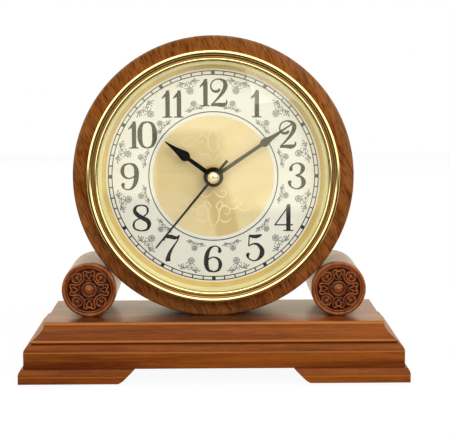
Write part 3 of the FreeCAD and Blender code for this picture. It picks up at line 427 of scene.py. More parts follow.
black_ink = ink("black_ink", paint(6, 5, 5), paint(11, 9, 8))
grey_ink = ink("grey_ink", paint(108, 106, 110), paint(128, 126, 129), 0.5)
slate_ink = ink("slate_ink", paint(44, 44, 48), paint(58, 58, 62), 0.5)
pale_ink = ink("pale_filigree", paint(224, 206, 154), paint(230, 213, 166), 0.45)
black_metal = Finish("black_hand_lacquer", paint(8, 8, 7), 0.4, specular_ior_level=0.08)
hand_noise = black_metal.noise(black_metal.place, 700.0, 3.0)
black_metal.set("Base Color", black_metal.blend(hand_noise, paint(4, 4, 4), paint(12, 11, 10)))
print("inks:", *(finish.material.name for finish in (black_ink, grey_ink, slate_ink, pale_ink)))

# %% [markdown]
# Glass is a clear dielectric. It could be left out, but its mirror image of the room is what says that
# the dial lies behind something. Its shadow would be black in a path tracer without caustics, so shadow
# rays pass straight through it.

# %% Glass
glass = Finish("clear_glass", paint(255, 255, 253), 0.0, ior=1.45, transmission_weight=1.0)
glass.share_with(glass.node("ShaderNodeBsdfTransparent"), glass.ray("Is Shadow Ray"))
print("glass bends light by an index of", glass.shader.inputs["IOR"].default_value)

# %% [markdown]
# What the movement and the pads are made of shows from behind and below. Each could have nodes of its own,
# but they differ only in colour, scale and sheen, so one function makes them all from a table: a colour, a
# second one that noise works into it, roughness, how often the noise repeats per metre, the depth of its
# bump in metres and how metallic it is.

# %% Finishes of the inner parts


def stuff(name, first, second, rough, scale, depth, metallic):
    """Two tones of a material worked into each other by one noise, which also moves gloss and bump."""
    finish = Finish(name, paint(*first), rough, metallic=metallic)
    grain = finish.noise(finish.place, scale, 4.0, 0.6)
    finish.set("Base Color", finish.blend(grain.ramp(0.3, 0.7), paint(*first), paint(*second)))
    finish.set("Roughness", (rough - 0.06) + grain * 0.12)
    finish.bump(grain, depth, 0.5)
    return finish


inner_table = {
    "gilt_brass": ((232, 182, 84), (246, 206, 112), 0.3, 300.0, 0.00004, 0.75),
    "green_felt": ((28, 56, 38), (52, 84, 60), 0.95, 2600.0, 0.0003, 0.0),
    "zinc_steel": ((150, 150, 146), (196, 196, 192), 0.3, 500.0, 0.00004, 1.0),
    "black_plastic": ((24, 24, 25), (36, 36, 38), 0.5, 1500.0, 0.0001, 0.0),
    "white_plastic": ((226, 224, 214), (238, 237, 230), 0.42, 700.0, 0.00004, 0.0),
    "black_rubber": ((20, 20, 20), (38, 38, 38), 0.8, 1200.0, 0.0001, 0.0),
    "brass_wheel": ((196, 156, 74), (222, 186, 104), 0.28, 600.0, 0.00004, 1.0),
    "magnet": ((52, 52, 54), (84, 84, 86), 0.45, 700.0, 0.00004, 0.6),
    "copper_winding": ((146, 66, 30), (198, 108, 58), 0.34, 2400.0, 0.0001, 0.9),
    "circuit_green": ((18, 74, 44), (34, 98, 60), 0.4, 500.0, 0.00004, 0.0),
    "battery_sleeve": ((34, 36, 40), (58, 60, 66), 0.3, 300.0, 0.00004, 0.3),
    "nickel_contact": ((176, 172, 160), (208, 204, 192), 0.25, 400.0, 0.00004, 1.0),
    "back_panel": ((30, 26, 23), (46, 40, 35), 0.55, 900.0, 0.0001, 0.0),
}
inner_finishes = {name: stuff(name, *values) for name, values in inner_table.items()}
print("inner finishes:", len(inner_finishes))

# %% [markdown]
# Every new piece is a surface worked out as a grid of points: rows along a profile, columns round an axis
# or along a path. Pushing faces about by hand or with modifiers would do too, but a grid keeps every size
# in sight as a number. The grid becomes a mesh at once, its coinciding points are merged so that seams and
# poles close, and its faces are turned to point outwards. Edges sharper than 32 degrees stay crisp.

# %% From grids of points to a mesh


def joined(grid, ring_rows, ring_columns):
    """Four corners of every face of a grid whose points are numbered row by row: a point, its neighbour
    in the row, and the same two in the next row. A closed row or column ends where it began."""
    rows, columns = grid.shape[:2]
    index = np.arange(rows * columns).reshape(rows, columns)
    if ring_rows:
        index = np.vstack([index, index[:1]])
    if ring_columns:
        index = np.hstack([index, index[:, :1]])
    corners = [index[:-1, :-1], index[:-1, 1:], index[1:, 1:], index[1:, :-1]]
    return np.stack(corners, axis=-1).reshape(-1, 4)


def make(name, grids, finish, instead_of=(), body=CASE, rings=(True, True), crisp=32, relief=None):
    """One piece from several grids of points in millimetres. rings says whether rows and columns close."""
    points, faces, count = [], [], 0
    for grid in grids:
        points.append(grid.reshape(-1, 3) * MM)
        faces.append(joined(grid, *rings) + count)
        count += grid.shape[0] * grid.shape[1]
    mesh = bpy.data.meshes.new(name)
    mesh.from_pydata(np.concatenate(points).tolist(), [], np.concatenate(faces).tolist())
    if relief is not None:
        layer = mesh.attributes.new("relief", "FLOAT", "POINT")
        layer.data.foreach_set("value", relief.astype(np.float32).ravel())
    shell = bmesh.new()
    shell.from_mesh(mesh)
    bmesh.ops.remove_doubles(shell, verts=shell.verts, dist=1e-6)
    bmesh.ops.dissolve_degenerate(shell, edges=shell.edges, dist=1e-8)
    bmesh.ops.recalc_face_normals(shell, faces=shell.faces)
    shell.to_mesh(mesh)
    shell.free()
    mesh.shade_smooth()
    mesh.set_sharp_from_angle(angle=math.radians(crisp))
    mesh.materials.append(finish.material)
    piece = bpy.data.objects.new(name, mesh)
    bpy.context.scene.collection.objects.link(piece)
    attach(piece, body)
    if instead_of:
        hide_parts(*instead_of)
    print(name, len(mesh.polygons), "faces")


# %% [markdown]
# A moulding is a profile swept along a line, and a turning is a profile swept round an axis. The profile is
# a list of corners. A third number bends the run that leads to a corner into an arc of that radius, to the
# right for a positive number and to the left for a negative one. Real edges are never knife sharp. A bevel
# modifier could ease them, but here each corner of the profile is eased before it is swept, which costs few
# faces and catches the light along a lacquered edge.

# %% Profiles with arcs and eased corners


def arc(start, end, radius, steps=14):
    """Points on the arc from start to end. The centre lies beside the middle of the chord, by the root of
    the radius squared less the square of half the chord, and the angle runs evenly between the ends."""
    start, end = np.array(start, float), np.array(end, float)
    chord = end - start
    half = np.hypot(*chord) / 2
    beside = np.array([-chord[1], chord[0]]) / (2 * half)
    size = max(abs(radius), half)
    centre = (start + end) / 2 + np.sign(radius) * beside * math.sqrt(size * size - half * half)
    first = math.atan2(*(start - centre)[::-1])
    sweep = 2 * math.asin(half / size)
    angles = first + np.sign(radius) * np.linspace(0, sweep, steps)
    return centre + size * np.stack([np.cos(angles), np.sin(angles)], axis=1)


def profile(corners, ease=0.25, closed=True):
    """Corners (along, up) or (along, up, radius) as a dense line. Where it turns by over 20 degrees, the
    corner gives way to a curve between a point just before it and one just after: the three points
    weighted by (1 - s) squared, 2 s (1 - s) and s squared, with s from 0 to 1."""
    line = []
    for number, corner in enumerate(corners):
        if len(corner) == 3:
            line.extend(arc(corners[number - 1][:2], corner[:2], corner[2])[1:])
        else:
            line.append(np.array(corner, float))
    line = np.array(line)
    before, after = np.roll(line, 1, axis=0) - line, np.roll(line, -1, axis=0) - line
    reach_before, reach_after = np.hypot(*before.T), np.hypot(*after.T)
    bend = np.clip(-(before * after).sum(axis=1) / (reach_before * reach_after), -1, 1)
    turning = np.degrees(np.arccos(bend))
    eased = []
    for number, point in enumerate(line):
        if turning[number] < 20 or (not closed and number in (0, len(line) - 1)):
            eased.append(point)
            continue
        size = min(ease, 0.4 * reach_before[number], 0.4 * reach_after[number])
        enter = point + before[number] / reach_before[number] * size
        leave = point + after[number] / reach_after[number] * size
        share = np.linspace(0, 1, 4)[:, None]
        eased.extend((1 - share) ** 2 * enter + 2 * share * (1 - share) * point + share ** 2 * leave)
    return np.array(eased)


def turned(line, centre=(0.0, AXIS_Z), plane=FACE_Y, steps=256, floor=None):
    """A profile of (radius, height in front of a plane) swept round an axis that runs front to back:
    across is the radius times the sine of the angle, and up is the radius times its cosine."""
    angle = np.linspace(0, 2 * np.pi, steps, endpoint=False)[None, :]
    radius, front = line[:, :1], line[:, 1:]
    across = centre[0] + radius * np.sin(angle)
    up = centre[1] + radius * np.cos(angle)
    if floor is not None:
        up = np.maximum(up, floor)
    return np.stack([across, plane - front + 0 * angle, up], axis=-1)


print("a quarter circle has", len(arc((0, 1), (1, 0), 1)), "points")

# %% [markdown]
# The base is built up like joinery: bracket feet, a plinth with a quarter round along its top, and a board
# with a cove and a small lip. A block with its edges cut by modifiers would lose the mitres at its corners,
# so each of them is one profile carried round a rectangle: a ring of four corners is moved out by each
# point's overhang and up by its height. A few columns on every side keep the mitre sharp and the long
# sides flat.

# %% Base: board and plinth
LIP = 7.3
HALF_WIDTH, HALF_DEPTH = board_high[:2] - LIP
BOARD_UNDER = board_low[2]
PLINTH_UNDER = box("base_plinth")[0][2]
FOOT_UNDER = box("left_foot")[0][2]


def mitred(line, columns=9):
    """A profile of (overhang, height) round the rectangle: each side is moved out by the overhang and
    drawn longer by it at both ends, so that neighbours meet in a mitre."""
    share = np.linspace(-1, 1, columns)[:, None]
    sides = []
    for turn in range(4):
        reach, other = (HALF_WIDTH, HALF_DEPTH) if turn % 2 else (HALF_DEPTH, HALF_WIDTH)
        out = reach + line[:, 0]
        along = share * (other + line[:, 0])
        x, y = round(math.sin(turn * math.pi / 2)), round(-math.cos(turn * math.pi / 2))
        side = np.stack([x * out + along * -y, y * out + along * x, line[:, 1] + 0 * along], axis=-1)
        sides.append(side)
    return np.concatenate(sides, axis=0).transpose(1, 0, 2)


def filled(grid):
    """Close the two ends of a swept profile with a point in the middle of each."""
    ends = [0 * grid[:1] + grid[place].mean(axis=0) for place in (0, -1)]
    return np.concatenate([ends[0], grid, ends[1]], axis=0)


board_line = profile([(LIP, BOARD_UNDER), (LIP, 23.8), (0.45, 30.6, -16.8), (0.0, 33.0),
                      (-0.6, BOARD_TOP, 0.6)], 0.2, False)
plinth_line = profile([(10.7, PLINTH_UNDER), (10.7, 17.9), (7.6, 22.3, 4.6), (6.6, 22.3),
                       (6.6, BOARD_UNDER)], 0.3, False)
for node, line in (("base_top_board", board_line), ("base_plinth", plinth_line)):
    make(node + "_moulded", [filled(mitred(line))], base_wood, [node], rings=(False, True))

# %% [markdown]
# Each foot wraps round both corners of one end of the plinth. Its moulding turns the two corners and stops
# in an end cut at 45 degrees, which makes the waist in the middle of the front. A whole frame could be made
# and its middle cut away, but then the cut would need its own faces. So the inner side of the rectangle
# moves in with the height, and its tip is rounded over the lowest two millimetres.

# %% Base: bracket feet
FOOT_OUT, WAIST, TIP = 13.6, 52.8, 1.1


def foot(side):
    """The foot's rectangle at every height. Its outer sides follow the overhang of the profile, and its
    inner end moves towards the middle by as much as the foot rises, which is a slope of 45 degrees."""
    upright = [(FOOT_OUT, height) for height in (FOOT_UNDER, 1.25, 1.6, 2.1, 2.8, 4.85)]
    line = profile([*upright, (12.1, PLINTH_UNDER, 5.2)], 0.3, False)
    rise = line[:, 1] - FOOT_UNDER
    inner = WAIST - rise + TIP * np.clip(1 - rise / 2.0, 0, 1) ** 2
    share = np.linspace(0, 1, 9)[:, None]
    outer = HALF_WIDTH + line[:, 0]
    deep = HALF_DEPTH + line[:, 0]
    front = [inner + share * (outer - inner), 0 * share - deep]
    end = [outer + 0 * share, deep * (2 * share - 1)]
    back = [outer + share * (inner - outer), 0 * share + deep]
    inside = [inner + 0 * share, deep * (1 - 2 * share)]
    across = side * np.concatenate([front[0], end[0], back[0], inside[0]])
    depth = np.concatenate([front[1], end[1], back[1], inside[1]])
    grid = np.stack([across, depth, line[:, 1] + 0 * across], axis=-1).transpose(1, 0, 2)
    return filled(grid)


for hand, side in (("left", -1), ("right", 1)):
    make(hand + "_bracket_foot", [foot(side)], base_wood, [hand + "_foot"],
         rings=(False, True))

# %% [markdown]
# The drum and the face ring are turnings about the dial's axis, cut a little flat where they stand on the
# base. The two rolls beside them are turned rods that lie on the base. On a lathe they would be cut from
# the outside in. Here the finished profile is swept once round, and no point may sink below the board's
# top, which cuts the flat without a boolean.

# %% Drum, face ring and rolls
RING_IN, COVER_SEAT, POCKET, BORE = 70.0, 45.6, 41.5, 4.3
RING_EDGE, DRUM_EDGE, ROLL_EDGE = 1.2, 1.5, 0.6
RING_BACK, DRUM_BACK = FACE_Y - ring_high[1], FACE_Y - box("drum_case")[1][1]
ROLL_FRONT, ROLL_BACK = (FACE_Y - corner[1] for corner in box("left_roll"))
POCKET_FRONT = RING_BACK - 5.0
ring_line = profile([(RING_IN, 0.0), (DRUM_RADIUS - RING_EDGE, 0.0), (DRUM_RADIUS, -RING_EDGE, -RING_EDGE),
                     (DRUM_RADIUS, RING_BACK), (RING_IN, RING_BACK)], 0.2)
make("face_ring_veneered", [turned(ring_line, floor=BOARD_TOP)], veneer, ["face_ring"])
drum_line = profile([(DRUM_RADIUS, RING_BACK), (DRUM_RADIUS, DRUM_BACK + DRUM_EDGE),
                     (DRUM_RADIUS - DRUM_EDGE, DRUM_BACK, -DRUM_EDGE), (COVER_SEAT, DRUM_BACK),
                     (COVER_SEAT, DRUM_BACK + 3.0), (POCKET, DRUM_BACK + 3.0), (POCKET, POCKET_FRONT),
                     (BORE, POCKET_FRONT), (BORE, RING_BACK)], 0.3)
make("drum_case_turned", [turned(drum_line, floor=BOARD_TOP)], turned_wood, ["drum_case"])
roll_line = profile([(0.0, ROLL_FRONT), (ROLL_RADIUS - 0.3, ROLL_FRONT),
                     (ROLL_RADIUS, ROLL_FRONT - 0.5, -0.4), (ROLL_RADIUS, ROLL_BACK + ROLL_EDGE),
                     (ROLL_RADIUS - ROLL_EDGE, ROLL_BACK, -ROLL_EDGE), (0.0, ROLL_BACK)], 0.2, False)
for name, side in (("left_roll", -1), ("right_roll", 1)):
    rod = turned(roll_line, (side * ROLL_X, ROLL_Z), FACE_Y, 96, BOARD_TOP)
    make(name + "_turned", [rod], turned_wood, [name], rings=(False, True))

# %% [markdown]
# The bezel is spun brass: an outer bead, a hollow, an inner bead and a short fall to the glass. The glass
# is a shallow dome of even thickness, and under it a wide cone of satin gold runs down to the dial. They
# are turnings like the drum, with more steps round, because polished metal shows every flat.

# %% Bezel, glass and surround
PLATE_RADIUS, BEZEL_RADIUS = dial_high[0], box("bezel_ring")[1][0]
PLATE_LEVEL = FACE_Y - DIAL_Y
GLASS_BACK, GLASS_FRONT, BEADS, DOME_RISE = 0.6, 2.4, 3.6, 8.0
bezel_line = profile([(PLATE_RADIUS + 0.1, RING_BACK), (69.7, RING_BACK), (69.7, 0.0), (BEZEL_RADIUS, 0.0),
                      (BEZEL_RADIUS, BEADS), (69.9, BEADS, 1.43), (68.2, BEADS, -0.93), (66.6, BEADS, 0.88),
                      (66.6, GLASS_FRONT), (PLATE_RADIUS + 0.1, GLASS_FRONT)], 0.12)
make("bezel_ring_polished", [turned(bezel_line, steps=360)], polished, ["bezel_ring"])
surround_line = profile([(61.9, PLATE_LEVEL), (PLATE_RADIUS, PLATE_LEVEL), (PLATE_RADIUS, GLASS_BACK),
                         (66.2, GLASS_BACK)], 0.1)
make("dial_surround_satin", [turned(surround_line, steps=300)], satin, ["dial_surround"])


def dome(chord, rise, height, steps=40):
    """A spherical cap as a profile, from its rim to its top. The sphere's radius is chord squared plus
    rise squared, over twice the rise, and every point of the profile is that far from its centre."""
    size = (chord * chord + rise * rise) / (2 * rise)
    radius = np.linspace(chord, 0, steps)
    return np.stack([radius, height + rise - size + np.sqrt(size * size - radius * radius)], axis=1)


glass_rim = [(PLATE_RADIUS, GLASS_BACK), (PLATE_RADIUS, GLASS_FRONT)]
glass_line = np.concatenate([dome(66.1, DOME_RISE, GLASS_BACK)[::-1], glass_rim,
                             dome(66.2, DOME_RISE, GLASS_FRONT)])
make("bezel_glass_domed", [turned(glass_line, steps=200)], glass, ["bezel_glass"],
     rings=(False, True))
dial_line = profile([(4.4, 0.0), (67.6, 0.0), (67.6, -1.9), (4.4, -1.9)], 0.1)
make("dial_plate_silvered", [turned(dial_line, plane=DIAL_Y, steps=240)], silver,
     ["dial_plate"])

# %% [markdown]
# A printed dial could be text and a picture. It is drawn with strokes here, the way an engraver would: a
# pen line with a width at each of its points. Bold serif numerals are heavy strokes that swell out of
# hairlines, so a smooth curve through a few points, with the width carried along it, gives them with very
# few numbers. Every stroke becomes a ribbon that stands a few hundredths of a millimetre on the plate.

# %% Pen strokes
INK_LIFT = 0.04


def smooth(points, steps=8):
    """A curve through all points. Each span is the cubic that runs at each of its ends by half the step
    from the point before that end to the point after it."""
    points = np.array(points, float)
    padded = np.concatenate([2 * points[:1] - points[1:2], points, 2 * points[-1:] - points[-2:-1]])
    share = np.linspace(0, 1, steps, endpoint=False)[None, :, None]
    before, start, end, after = (padded[shift:len(padded) - 3 + shift, None, :] for shift in range(4))
    line = 0.5 * (2 * start + (end - before) * share + (2 * before - 5 * start + 4 * end - after) * share ** 2
                  + (3 * start - before - 3 * end + after) * share ** 3)
    return np.concatenate([line.reshape(-1, points.shape[1]), points[-1:]])


def stroke(points, bent=True, steps=8):
    """A pen line of (across, up, width) as its two edges: the line, moved by half its width to either
    side, at right angles to its run."""
    line = smooth(points, steps) if bent else np.array(points, float)
    run = np.gradient(line[:, :2], axis=0)
    run /= np.maximum(np.hypot(*run.T), 1e-9)[:, None]
    aside = np.stack([-run[:, 1], run[:, 0]], axis=1) * line[:, 2:] / 2
    return np.stack([line[:, :2] + aside, line[:, :2] - aside], axis=0)


def printed(edges, at=(0.0, 0.0), turn=0.0, size=1.0, lift=INK_LIFT):
    """Two edges as a thin closed ribbon on the dial: scaled, turned clockwise by sine and cosine, moved
    to its place, and joined to the same two edges on the plate."""
    x, up = edges[..., 0] * size, edges[..., 1] * size
    across = at[0] + x * math.cos(turn) + up * math.sin(turn)
    height = AXIS_Z + at[1] - x * math.sin(turn) + up * math.cos(turn)
    front = np.stack([across, np.full_like(across, DIAL_Y - lift), height], axis=-1)
    back = front + np.array([0.0, lift, 0.0])
    ribbon = np.stack([front[0], front[1], back[1], back[0]])
    ends = [np.repeat(ribbon[:, place].mean(axis=0)[None, None], 4, axis=0) for place in (0, -1)]
    return np.concatenate([ends[0], ribbon, ends[1]], axis=1)


print("three points become", len(smooth([(0, 0, 1), (1, 1, 1), (2, 0, 1)])), "along a stroke")

# %% [markdown]
# The numerals are in a fat-face style: stems of about 2.5 mm beside hairlines of about 0.7 mm. A font could
# set them, but no font of this weight is sure to be at hand, so each figure is a few strokes round its own
# middle, drawn 15.8 mm tall and set at about 15.4 mm. A 6 is a 9 on its head.

# %% Numerals
figures = {
    "1": [[(0.65, 7.9, 0.7), (0.65, 6.9, 1.7), (0.65, 4.0, 2.1), (0.65, -6.6, 2.1), (0.65, -7.7, 2.6)],
          [(1.5, 7.9, 0.5), (-0.4, 5.4, 1.25), (-2.7, 3.2, 0.3)],
          [(-2.3, -7.75, 0.42), (3.3, -7.75, 0.42)]],
    "2": [[(0.9, 1.9, 1.0), (-0.9, 0.6, 1.3), (-3.4, 1.0, 0.9), (-4.6, 3.6, 0.55), (-3.4, 6.6, 0.5),
           (-0.2, 7.8, 0.55), (3.1, 6.6, 1.5), (4.0, 4.0, 2.1), (2.6, 0.4, 1.7), (-0.9, -3.9, 0.9),
           (-4.3, -7.3, 0.45)],
          [(-4.5, -7.4, 1.0), (-1.2, -7.1, 1.5), (2.2, -7.3, 2.0), (4.5, -6.4, 0.9), (4.7, -4.4, 0.35)]],
    "3": [[(-2.9, 3.2, 0.9), (-3.6, 4.1, 1.6), (-2.6, 6.5, 0.6), (0.3, 7.6, 0.5), (3.0, 6.3, 1.4),
           (3.5, 4.1, 2.0), (2.0, 1.3, 0.9), (-0.8, 0.35, 0.4)],
          [(-0.8, 0.35, 0.4), (2.7, -0.8, 1.2), (4.0, -3.7, 2.2), (3.0, -6.3, 1.3), (0.2, -7.6, 0.5),
           (-3.2, -6.5, 0.5), (-4.3, -4.0, 1.6), (-3.5, -2.9, 0.9)]],
    "4": [[(3.5, 8.0, 0.4), (-5.4, -4.5, 0.5)],
          [(-5.6, -4.4, 0.5), (5.4, -4.4, 0.5)],
          [(2.65, 7.9, 0.7), (2.65, 6.4, 1.9), (2.65, 4.0, 2.1), (2.65, -6.8, 2.1), (2.65, -7.8, 2.6)],
          [(-0.3, -7.8, 0.42), (5.5, -7.8, 0.42)]],
    "5": [[(-3.6, 7.7, 0.5), (-2.0, 6.9, 1.5), (0.6, 6.8, 1.8), (2.9, 7.4, 1.2), (3.9, 8.0, 0.4)],
          [(-3.5, 7.4, 0.5), (-3.9, 1.0, 0.42)],
          [(-3.9, 1.0, 0.4), (-1.4, 2.3, 0.6), (1.4, 2.0, 1.3), (3.9, -0.9, 2.1), (3.8, -4.2, 2.2),
           (1.4, -7.1, 0.9), (-1.4, -7.7, 0.5), (-4.0, -6.2, 0.6), (-4.4, -4.2, 1.6), (-3.4, -3.4, 0.8)]],
    "7": [[(-4.7, 4.3, 0.35), (-4.4, 6.2, 0.5), (-3.2, 6.9, 1.5), (-0.8, 6.9, 2.0), (1.8, 6.2, 1.7),
           (3.3, 6.7, 0.9), (4.4, 7.9, 0.35)],
          [(4.3, 7.5, 0.4), (3.1, 4.6, 0.5), (0.7, 1.0, 0.8), (-1.4, -2.6, 1.5), (-2.5, -6.0, 2.2),
           (-2.6, -7.6, 2.6), (-2.6, -7.9, 1.6)]],
    "8": [[(0.2, 7.8, 0.5), (-2.8, 7.0, 0.9), (-4.0, 4.6, 1.7), (-2.6, 2.2, 2.0), (0.3, 0.25, 2.1),
           (3.6, -1.6, 2.2), (4.5, -4.1, 1.9), (3.3, -6.7, 1.0), (0.0, -7.7, 0.5)],
          [(0.0, -7.7, 0.5), (-3.6, -6.6, 0.7), (-4.7, -4.2, 1.0), (-3.6, -1.6, 0.6), (0.0, 0.25, 0.45),
           (3.0, 2.4, 0.6), (3.8, 4.6, 0.9), (2.9, 6.9, 0.7), (0.2, 7.8, 0.5)]],
    "9": [[(-0.3, 7.8, 0.5), (-3.3, 6.6, 1.1), (-4.4, 3.3, 1.8), (-3.3, 0.2, 1.2), (-0.3, -1.1, 0.5),
           (2.6, 0.2, 0.6), (3.6, 2.0, 0.8)],
          [(-0.3, 7.8, 0.5), (2.8, 6.5, 1.5), (4.0, 2.6, 2.3), (3.5, -2.6, 2.1), (1.8, -6.2, 1.3),
           (-0.8, -7.7, 0.5), (-3.4, -7.0, 0.6), (-4.1, -4.9, 1.7), (-3.2, -4.0, 0.9)]],
    "0": [[(0.0, 7.65, 0.5), (2.9, 6.4, 1.3), (4.2, 2.9, 2.2), (4.3, 0.0, 2.3), (4.2, -2.9, 2.2),
           (2.9, -6.4, 1.3), (0.0, -7.65, 0.5), (-2.9, -6.4, 1.3), (-4.2, -2.9, 2.2), (-4.3, 0.0, 2.3),
           (-4.2, 2.9, 2.2), (-2.9, 6.4, 1.3), (0.0, 7.65, 0.5)]],
}
figures["6"] = [[(-across, -up, width) for across, up, width in points] for points in figures["9"]]
HOUR_RADIUS, FIGURE_SIZE = 48.3, 0.978
# Ink spreads on the plate, so a line prints wider than it is drawn: in proportion, and a little all round.
BOLDER, SPREAD = 1.12, 0.24
# How far the figures of an hour stand to the right of its middle.
sideways = {"12": (-5.1, 3.3), "10": (-4.5, 3.9), "11": (-2.7, 4.0), "1": (0.4,), "2": (1.0,), "4": (-1.0,),
            "6": (-0.5,)}
ink_ribbons = []
for hour in range(1, 13):
    turn = hour * math.pi / 6
    middle = np.array([math.sin(turn), math.cos(turn)]) * HOUR_RADIUS
    offsets = sideways.get(str(hour), (0.0,))
    for figure, offset in zip(str(hour), offsets):
        spot = middle + np.array([offset * FIGURE_SIZE, 0.0])
        for points in figures[figure]:
            bold = [(across, up, width * BOLDER + SPREAD) for across, up, width in points]
            ink_ribbons.append(printed(stroke(bold, len(points) > 2), spot, size=FIGURE_SIZE))
print("strokes in the twelve hours:", len(ink_ribbons))

# %% [markdown]
# The minute track is two fine circles with sixty ticks between them and a block at every fifth. They could
# be masks in the dial's material, but every tick would cost nodes. As geometry a tick is a straight stroke
# and a circle is turned like the bezel. Numerals and ticks share one ink, so they become one piece.

# %% Minute track
TRACK_OUT, TRACK_IN, TRACK_LINE = 60.7, 58.6, 0.55


def circle(radius, width, steps=240, lift=INK_LIFT):
    """A thin closed ring on the dial as a turned profile."""
    near_side, far_side = radius - width / 2, radius + width / 2
    section = np.array([(near_side, 0.0), (near_side, lift), (far_side, lift), (far_side, 0.0)])
    return turned(section, plane=DIAL_Y, steps=steps)


for minute in range(60):
    width = 2.1 if minute % 5 == 0 else 0.7
    tick = stroke([(0.0, TRACK_IN, width), (0.0, TRACK_OUT, width)], False)
    ink_ribbons.append(printed(tick, turn=minute * math.pi / 30))
make("dial_numerals", ink_ribbons, black_ink, rings=(True, False))
track = [circle(radius, TRACK_LINE) for radius in (TRACK_OUT, TRACK_IN)]
make("dial_track", track, black_ink)

# %% [markdown]
# Between the hours the plate is printed with grey sprays: a rose over two leafy vines with berries. Half a
# spray is drawn, mirrored, and repeated round the dial, hanging from the track and, smaller, standing on
# the inner circle. Instances would be lighter for thousands, but for twelve a copy of the strokes will do.

# %% Grey sprays
half_spray = [
    [(0.0, 4.3, 0.4), (0.7, 2.9, 0.5), (1.6, 1.3, 0.6), (3.0, 0.6, 0.75), (4.5, 0.8, 0.6), (5.7, 1.3, 0.35)],
    [(2.4, 0.7, 0.3), (3.4, 1.4, 1.0), (3.6, 2.2, 0.3)],
    [(3.4, 0.5, 0.2), (4.3, -0.1, 0.75), (5.3, 0.2, 0.15)],
    [(4.4, 0.9, 0.2), (4.7, 1.9, 0.85), (5.4, 2.6, 0.2)],
    [(5.4, 1.2, 0.3), (6.2, 1.3, 0.8), (6.9, 2.1, 0.15)],
    [(1.3, 1.5, 0.2), (1.9, 2.3, 0.7), (2.6, 2.6, 0.2)],
    [(3.7, 2.6, 0.8), (4.0, 3.2, 1.0)],
    [(2.1, 3.6, 0.8), (2.4, 4.2, 1.0)],
    [(0.0, 0.5, 0.35), (0.7, 0.8, 0.35), (0.6, 1.7, 0.35), (0.0, 1.9, 0.35)],
    [(0.0, 7.6, 0.5), (0.9, 7.5, 0.6), (1.3, 6.7, 0.4)],
    [(1.2, 6.8, 0.4), (1.8, 6.1, 0.65), (1.4, 5.3, 0.4)],
    [(1.5, 5.4, 0.4), (1.2, 4.5, 0.7), (0.0, 4.4, 0.6)],
    [(0.0, 6.8, 0.4), (0.7, 6.5, 0.45), (0.9, 5.8, 0.4), (0.5, 5.2, 0.4), (0.0, 5.2, 0.4)],
]
rose_heart = [(-0.5, 6.0, 0.9), (0.5, 6.0, 0.9)]
SPRAY_LIFT, SPRAY_TOP, SPRAY_FOOT = 0.03, TRACK_IN - 1.7, 39.4


def spray(bolder, stretch, foot, turn):
    """Ribbons of one spray: its lines drawn that much bolder, stretched, set on its foot and turned."""
    edges = [stroke(rose_heart, False)]
    for points in half_spray:
        for side in (1, -1):
            petal = [(side * across, up, width * bolder) for across, up, width in points]
            edges.append(stroke(petal, True, 5))
    return [printed(pair * np.array(stretch) + np.array([0.0, foot]), turn=turn, lift=SPRAY_LIFT)
            for pair in edges]


spray_ribbons = []
for place in range(12):
    turn = (place + 0.5) * math.pi / 6
    spray_ribbons += spray(0.95, (1.0, -1.0), SPRAY_TOP, turn)
    spray_ribbons += spray(1.1, (0.85, 0.7), SPRAY_FOOT, turn)
make("dial_sprays", spray_ribbons, grey_ink, rings=(True, False))
make("dial_inner_circle", [circle(37.3, 0.6)], slate_ink)

# %% [markdown]
# The middle of the dial is a champagne disc, laid on like the print. Its edge could be a mask in the
# plate's material, but as a layer of its own it ends in a true circle, and it can have its own sheen.

# %% Champagne middle
DISC_IN, DISC_OUT, DISC_LIFT = 4.5, 35.1, 0.03
disc_line = np.array([(DISC_IN, 0.0), (DISC_IN, DISC_LIFT), (DISC_OUT, DISC_LIFT), (DISC_OUT, 0.0)])
make("dial_middle_disc", [turned(disc_line, plane=DIAL_Y, steps=180)], champagne)

# %% [markdown]
# The middle disc has a faint tone-on-tone ornament: a symmetrical spray of scrolls above and below the
# axis, printed in a colour only a little lighter than the disc, so it shows like a watermark. A second tone
# in the disc's material would need a mask as fine as these lines, so they are pen strokes too.

# %% Watermark on the middle disc
WATERMARK_LIFT, WATERMARK_LINE = 0.045, 0.7
half_watermark = [
    [(0.0, -8.0, 0.6), (2.4, -11.0, 1.2), (5.6, -12.0, 1.0), (7.4, -9.6, 0.8), (5.8, -7.6, 0.8),
     (4.4, -9.0, 0.9)],
    [(0.6, -29.0, 0.4), (3.0, -25.0, 1.1), (3.4, -20.0, 1.3), (6.2, -17.0, 1.1), (9.4, -19.0, 0.9),
     (8.6, -22.2, 0.8), (6.4, -21.2, 1.0)],
    [(3.4, -20.0, 0.6), (1.6, -17.4, 1.2), (3.6, -14.6, 1.0), (5.4, -15.8, 0.8), (4.4, -17.2, 0.8)],
    [(3.2, -25.0, 0.4), (7.0, -26.6, 1.3), (10.6, -24.4, 0.3)],
    [(9.4, -19.0, 0.4), (13.4, -18.4, 1.4), (16.4, -14.6, 0.9), (13.8, -12.4, 0.8), (12.2, -14.4, 0.9)],
    [(13.4, -18.4, 0.4), (18.4, -20.2, 1.3), (22.0, -17.6, 0.3)],
    [(0.6, 9.0, 0.4), (3.0, 12.4, 1.1), (6.6, 12.6, 1.0), (7.6, 9.8, 0.8), (5.4, 8.8, 0.9)],
    [(0.0, 14.0, 0.5), (2.8, 17.4, 1.2), (3.0, 21.6, 1.0), (6.4, 24.0, 1.1), (9.0, 21.6, 0.9),
     (7.2, 19.4, 0.8), (5.8, 21.0, 0.9)],
    [(3.0, 21.6, 0.4), (1.8, 26.0, 1.2), (0.0, 29.4, 0.3)],
    [(9.0, 21.6, 0.4), (13.6, 22.6, 1.3), (17.4, 19.6, 0.9), (15.4, 16.8, 0.8), (13.4, 18.4, 0.9)],
]
watermark = []
